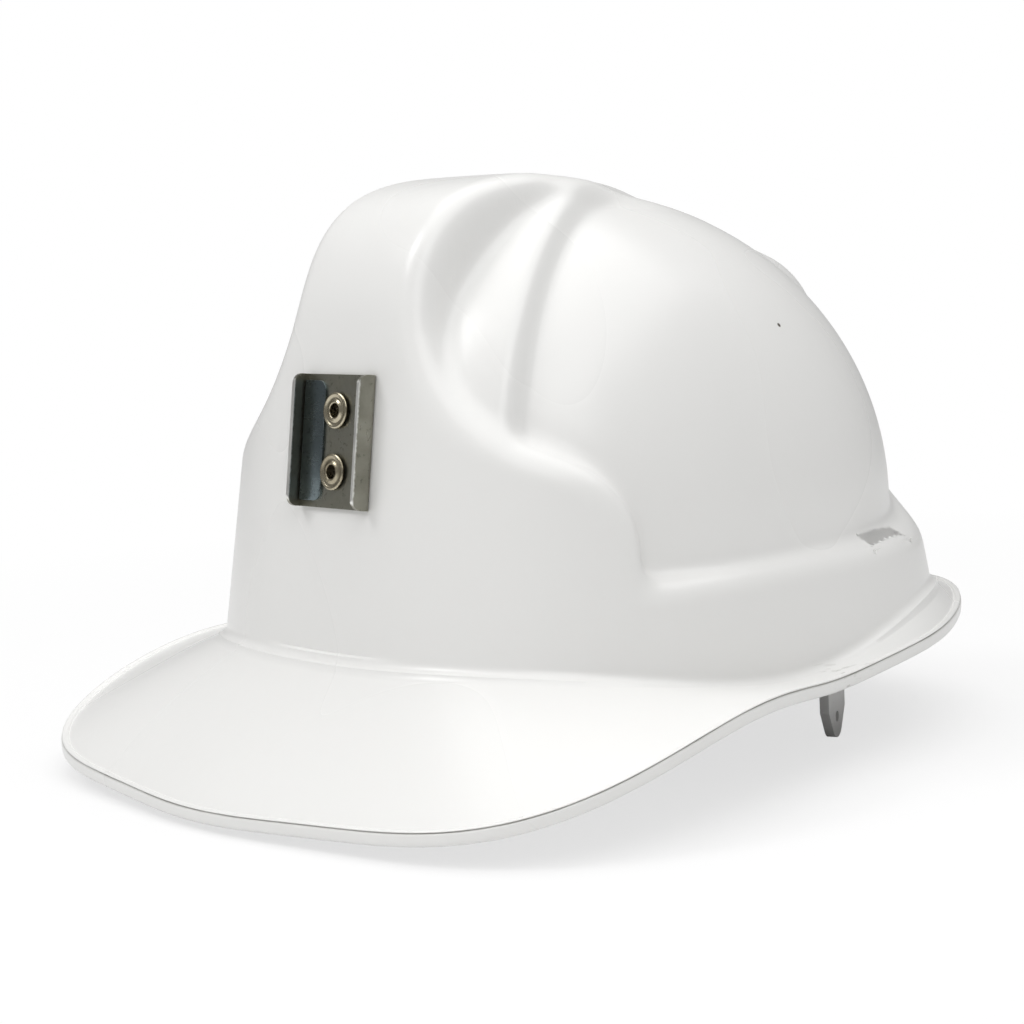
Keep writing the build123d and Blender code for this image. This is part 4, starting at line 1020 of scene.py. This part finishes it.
def studio():
    low = cad_bounds[0][2]
    made = bmesh.new()
    bmesh.ops.create_grid(made, x_segments=1, y_segments=1, size=floor_half)
    floor = made_object("floor", made)
    floor.location = (0, 0, low)
    material, tree, shader = new_material("floor")
    shader.inputs["Base Color"].default_value = (0.86, 0.86, 0.86, 1)
    shader.inputs["Roughness"].default_value = 0.9
    out = next(node for node in tree.nodes if node.type == "OUTPUT_MATERIAL")
    glow = add(tree, "ShaderNodeEmission", Strength=1.0)
    path = add(tree, "ShaderNodeLightPath")
    mix = add(tree, "ShaderNodeMixShader")
    away = add(tree, "ShaderNodeVectorMath", operation="LENGTH")
    tree.links.new(place_in(tree), away.inputs[0])
    share = between(tree, away.outputs["Value"], *floor_fade, floor_near_share, 1.0)
    tree.links.new(math_node(tree, "MULTIPLY", path.outputs["Is Camera Ray"], share), mix.inputs[0])
    tree.links.new(shader.outputs[0], mix.inputs[1])
    tree.links.new(glow.outputs[0], mix.inputs[2])
    under = add(tree, "ShaderNodeMixShader")
    tree.links.new(add(tree, "ShaderNodeNewGeometry").outputs["Backfacing"], under.inputs[0])
    tree.links.new(mix.outputs[0], under.inputs[1])
    tree.links.new(add(tree, "ShaderNodeBsdfTransparent").outputs[0], under.inputs[2])
    tree.links.new(under.outputs[0], out.inputs[0])
    floor.data.materials.append(material)
    world = bpy.context.scene.world or bpy.data.worlds.new("world")
    bpy.context.scene.world = world
    world.use_nodes = True
    tree = world.node_tree
    back = next(node for node in tree.nodes if node.type == "BACKGROUND")
    back.inputs[0].default_value = (1, 1, 1, 1)
    back.inputs[1].default_value = ambient
    out = next(node for node in tree.nodes if node.type == "OUTPUT_WORLD")
    white = add(tree, "ShaderNodeBackground", Strength=1.0)
    white.inputs[0].default_value = (1, 1, 1, 1)
    path = add(tree, "ShaderNodeLightPath")
    mix = add(tree, "ShaderNodeMixShader")
    tree.links.new(path.outputs["Is Camera Ray"], mix.inputs[0])
    tree.links.new(back.outputs[0], mix.inputs[1])
    tree.links.new(white.outputs[0], mix.inputs[2])
    tree.links.new(mix.outputs[0], out.inputs[0])


def soft_light(name, place, size, power):
    light = bpy.data.lights.new(name, "AREA")
    light.shape = "RECTANGLE"
    light.size, light.size_y = size
    light.energy = power
    lamp = bpy.data.objects.new(name, light)
    lamp.location = place
    lamp.rotation_euler = (Vector(lamp_target) - Vector(place)).to_track_quat("-Z", "Y").to_euler()
    bpy.context.scene.collection.objects.link(lamp)


def camera():
    turn, rise, roll = math.radians(camera_turn), math.radians(camera_rise), math.radians(camera_roll)
    target = Vector((0, 0, camera_height))
    back = Vector((math.sin(turn) * math.cos(rise), -math.cos(turn) * math.cos(rise), math.sin(rise)))
    right = Vector((0, 0, 1)).cross(back).normalized()
    up = back.cross(right)
    x_axis = math.cos(roll) * right + math.sin(roll) * up
    y_axis = -math.sin(roll) * right + math.cos(roll) * up
    data = bpy.data.cameras.new("camera")
    data.sensor_width = sensor_width
    data.lens = sensor_width * focal_pixels / image_size
    data.shift_x = -(centre_pixels[0] - image_size / 2) / image_size
    data.shift_y = -(image_size / 2 - centre_pixels[1]) / image_size
    data.clip_start = 0.01
    data.dof.use_dof = False
    view = bpy.data.objects.new("camera", data)
    matrix = view.matrix_world.copy()
    for row in range(3):
        matrix[row][0], matrix[row][1], matrix[row][2] = x_axis[row], y_axis[row], back[row]
        matrix[row][3] = (target + back * camera_distance)[row]
    view.matrix_world = matrix
    bpy.context.scene.collection.objects.link(view)
    bpy.context.scene.camera = view


studio()
soft_light("key_light", (-0.75, -1.1, 1.5), (0.7, 0.6), 9.5)
soft_light("top_light", (0.15, 0.1, 1.8), (2.4, 2.4), 33)
soft_light("side_light", (1.1, -1.0, 1.35), (1.2, 0.9), 7.5)
camera()
bpy.context.scene.view_settings.view_transform = "Standard"
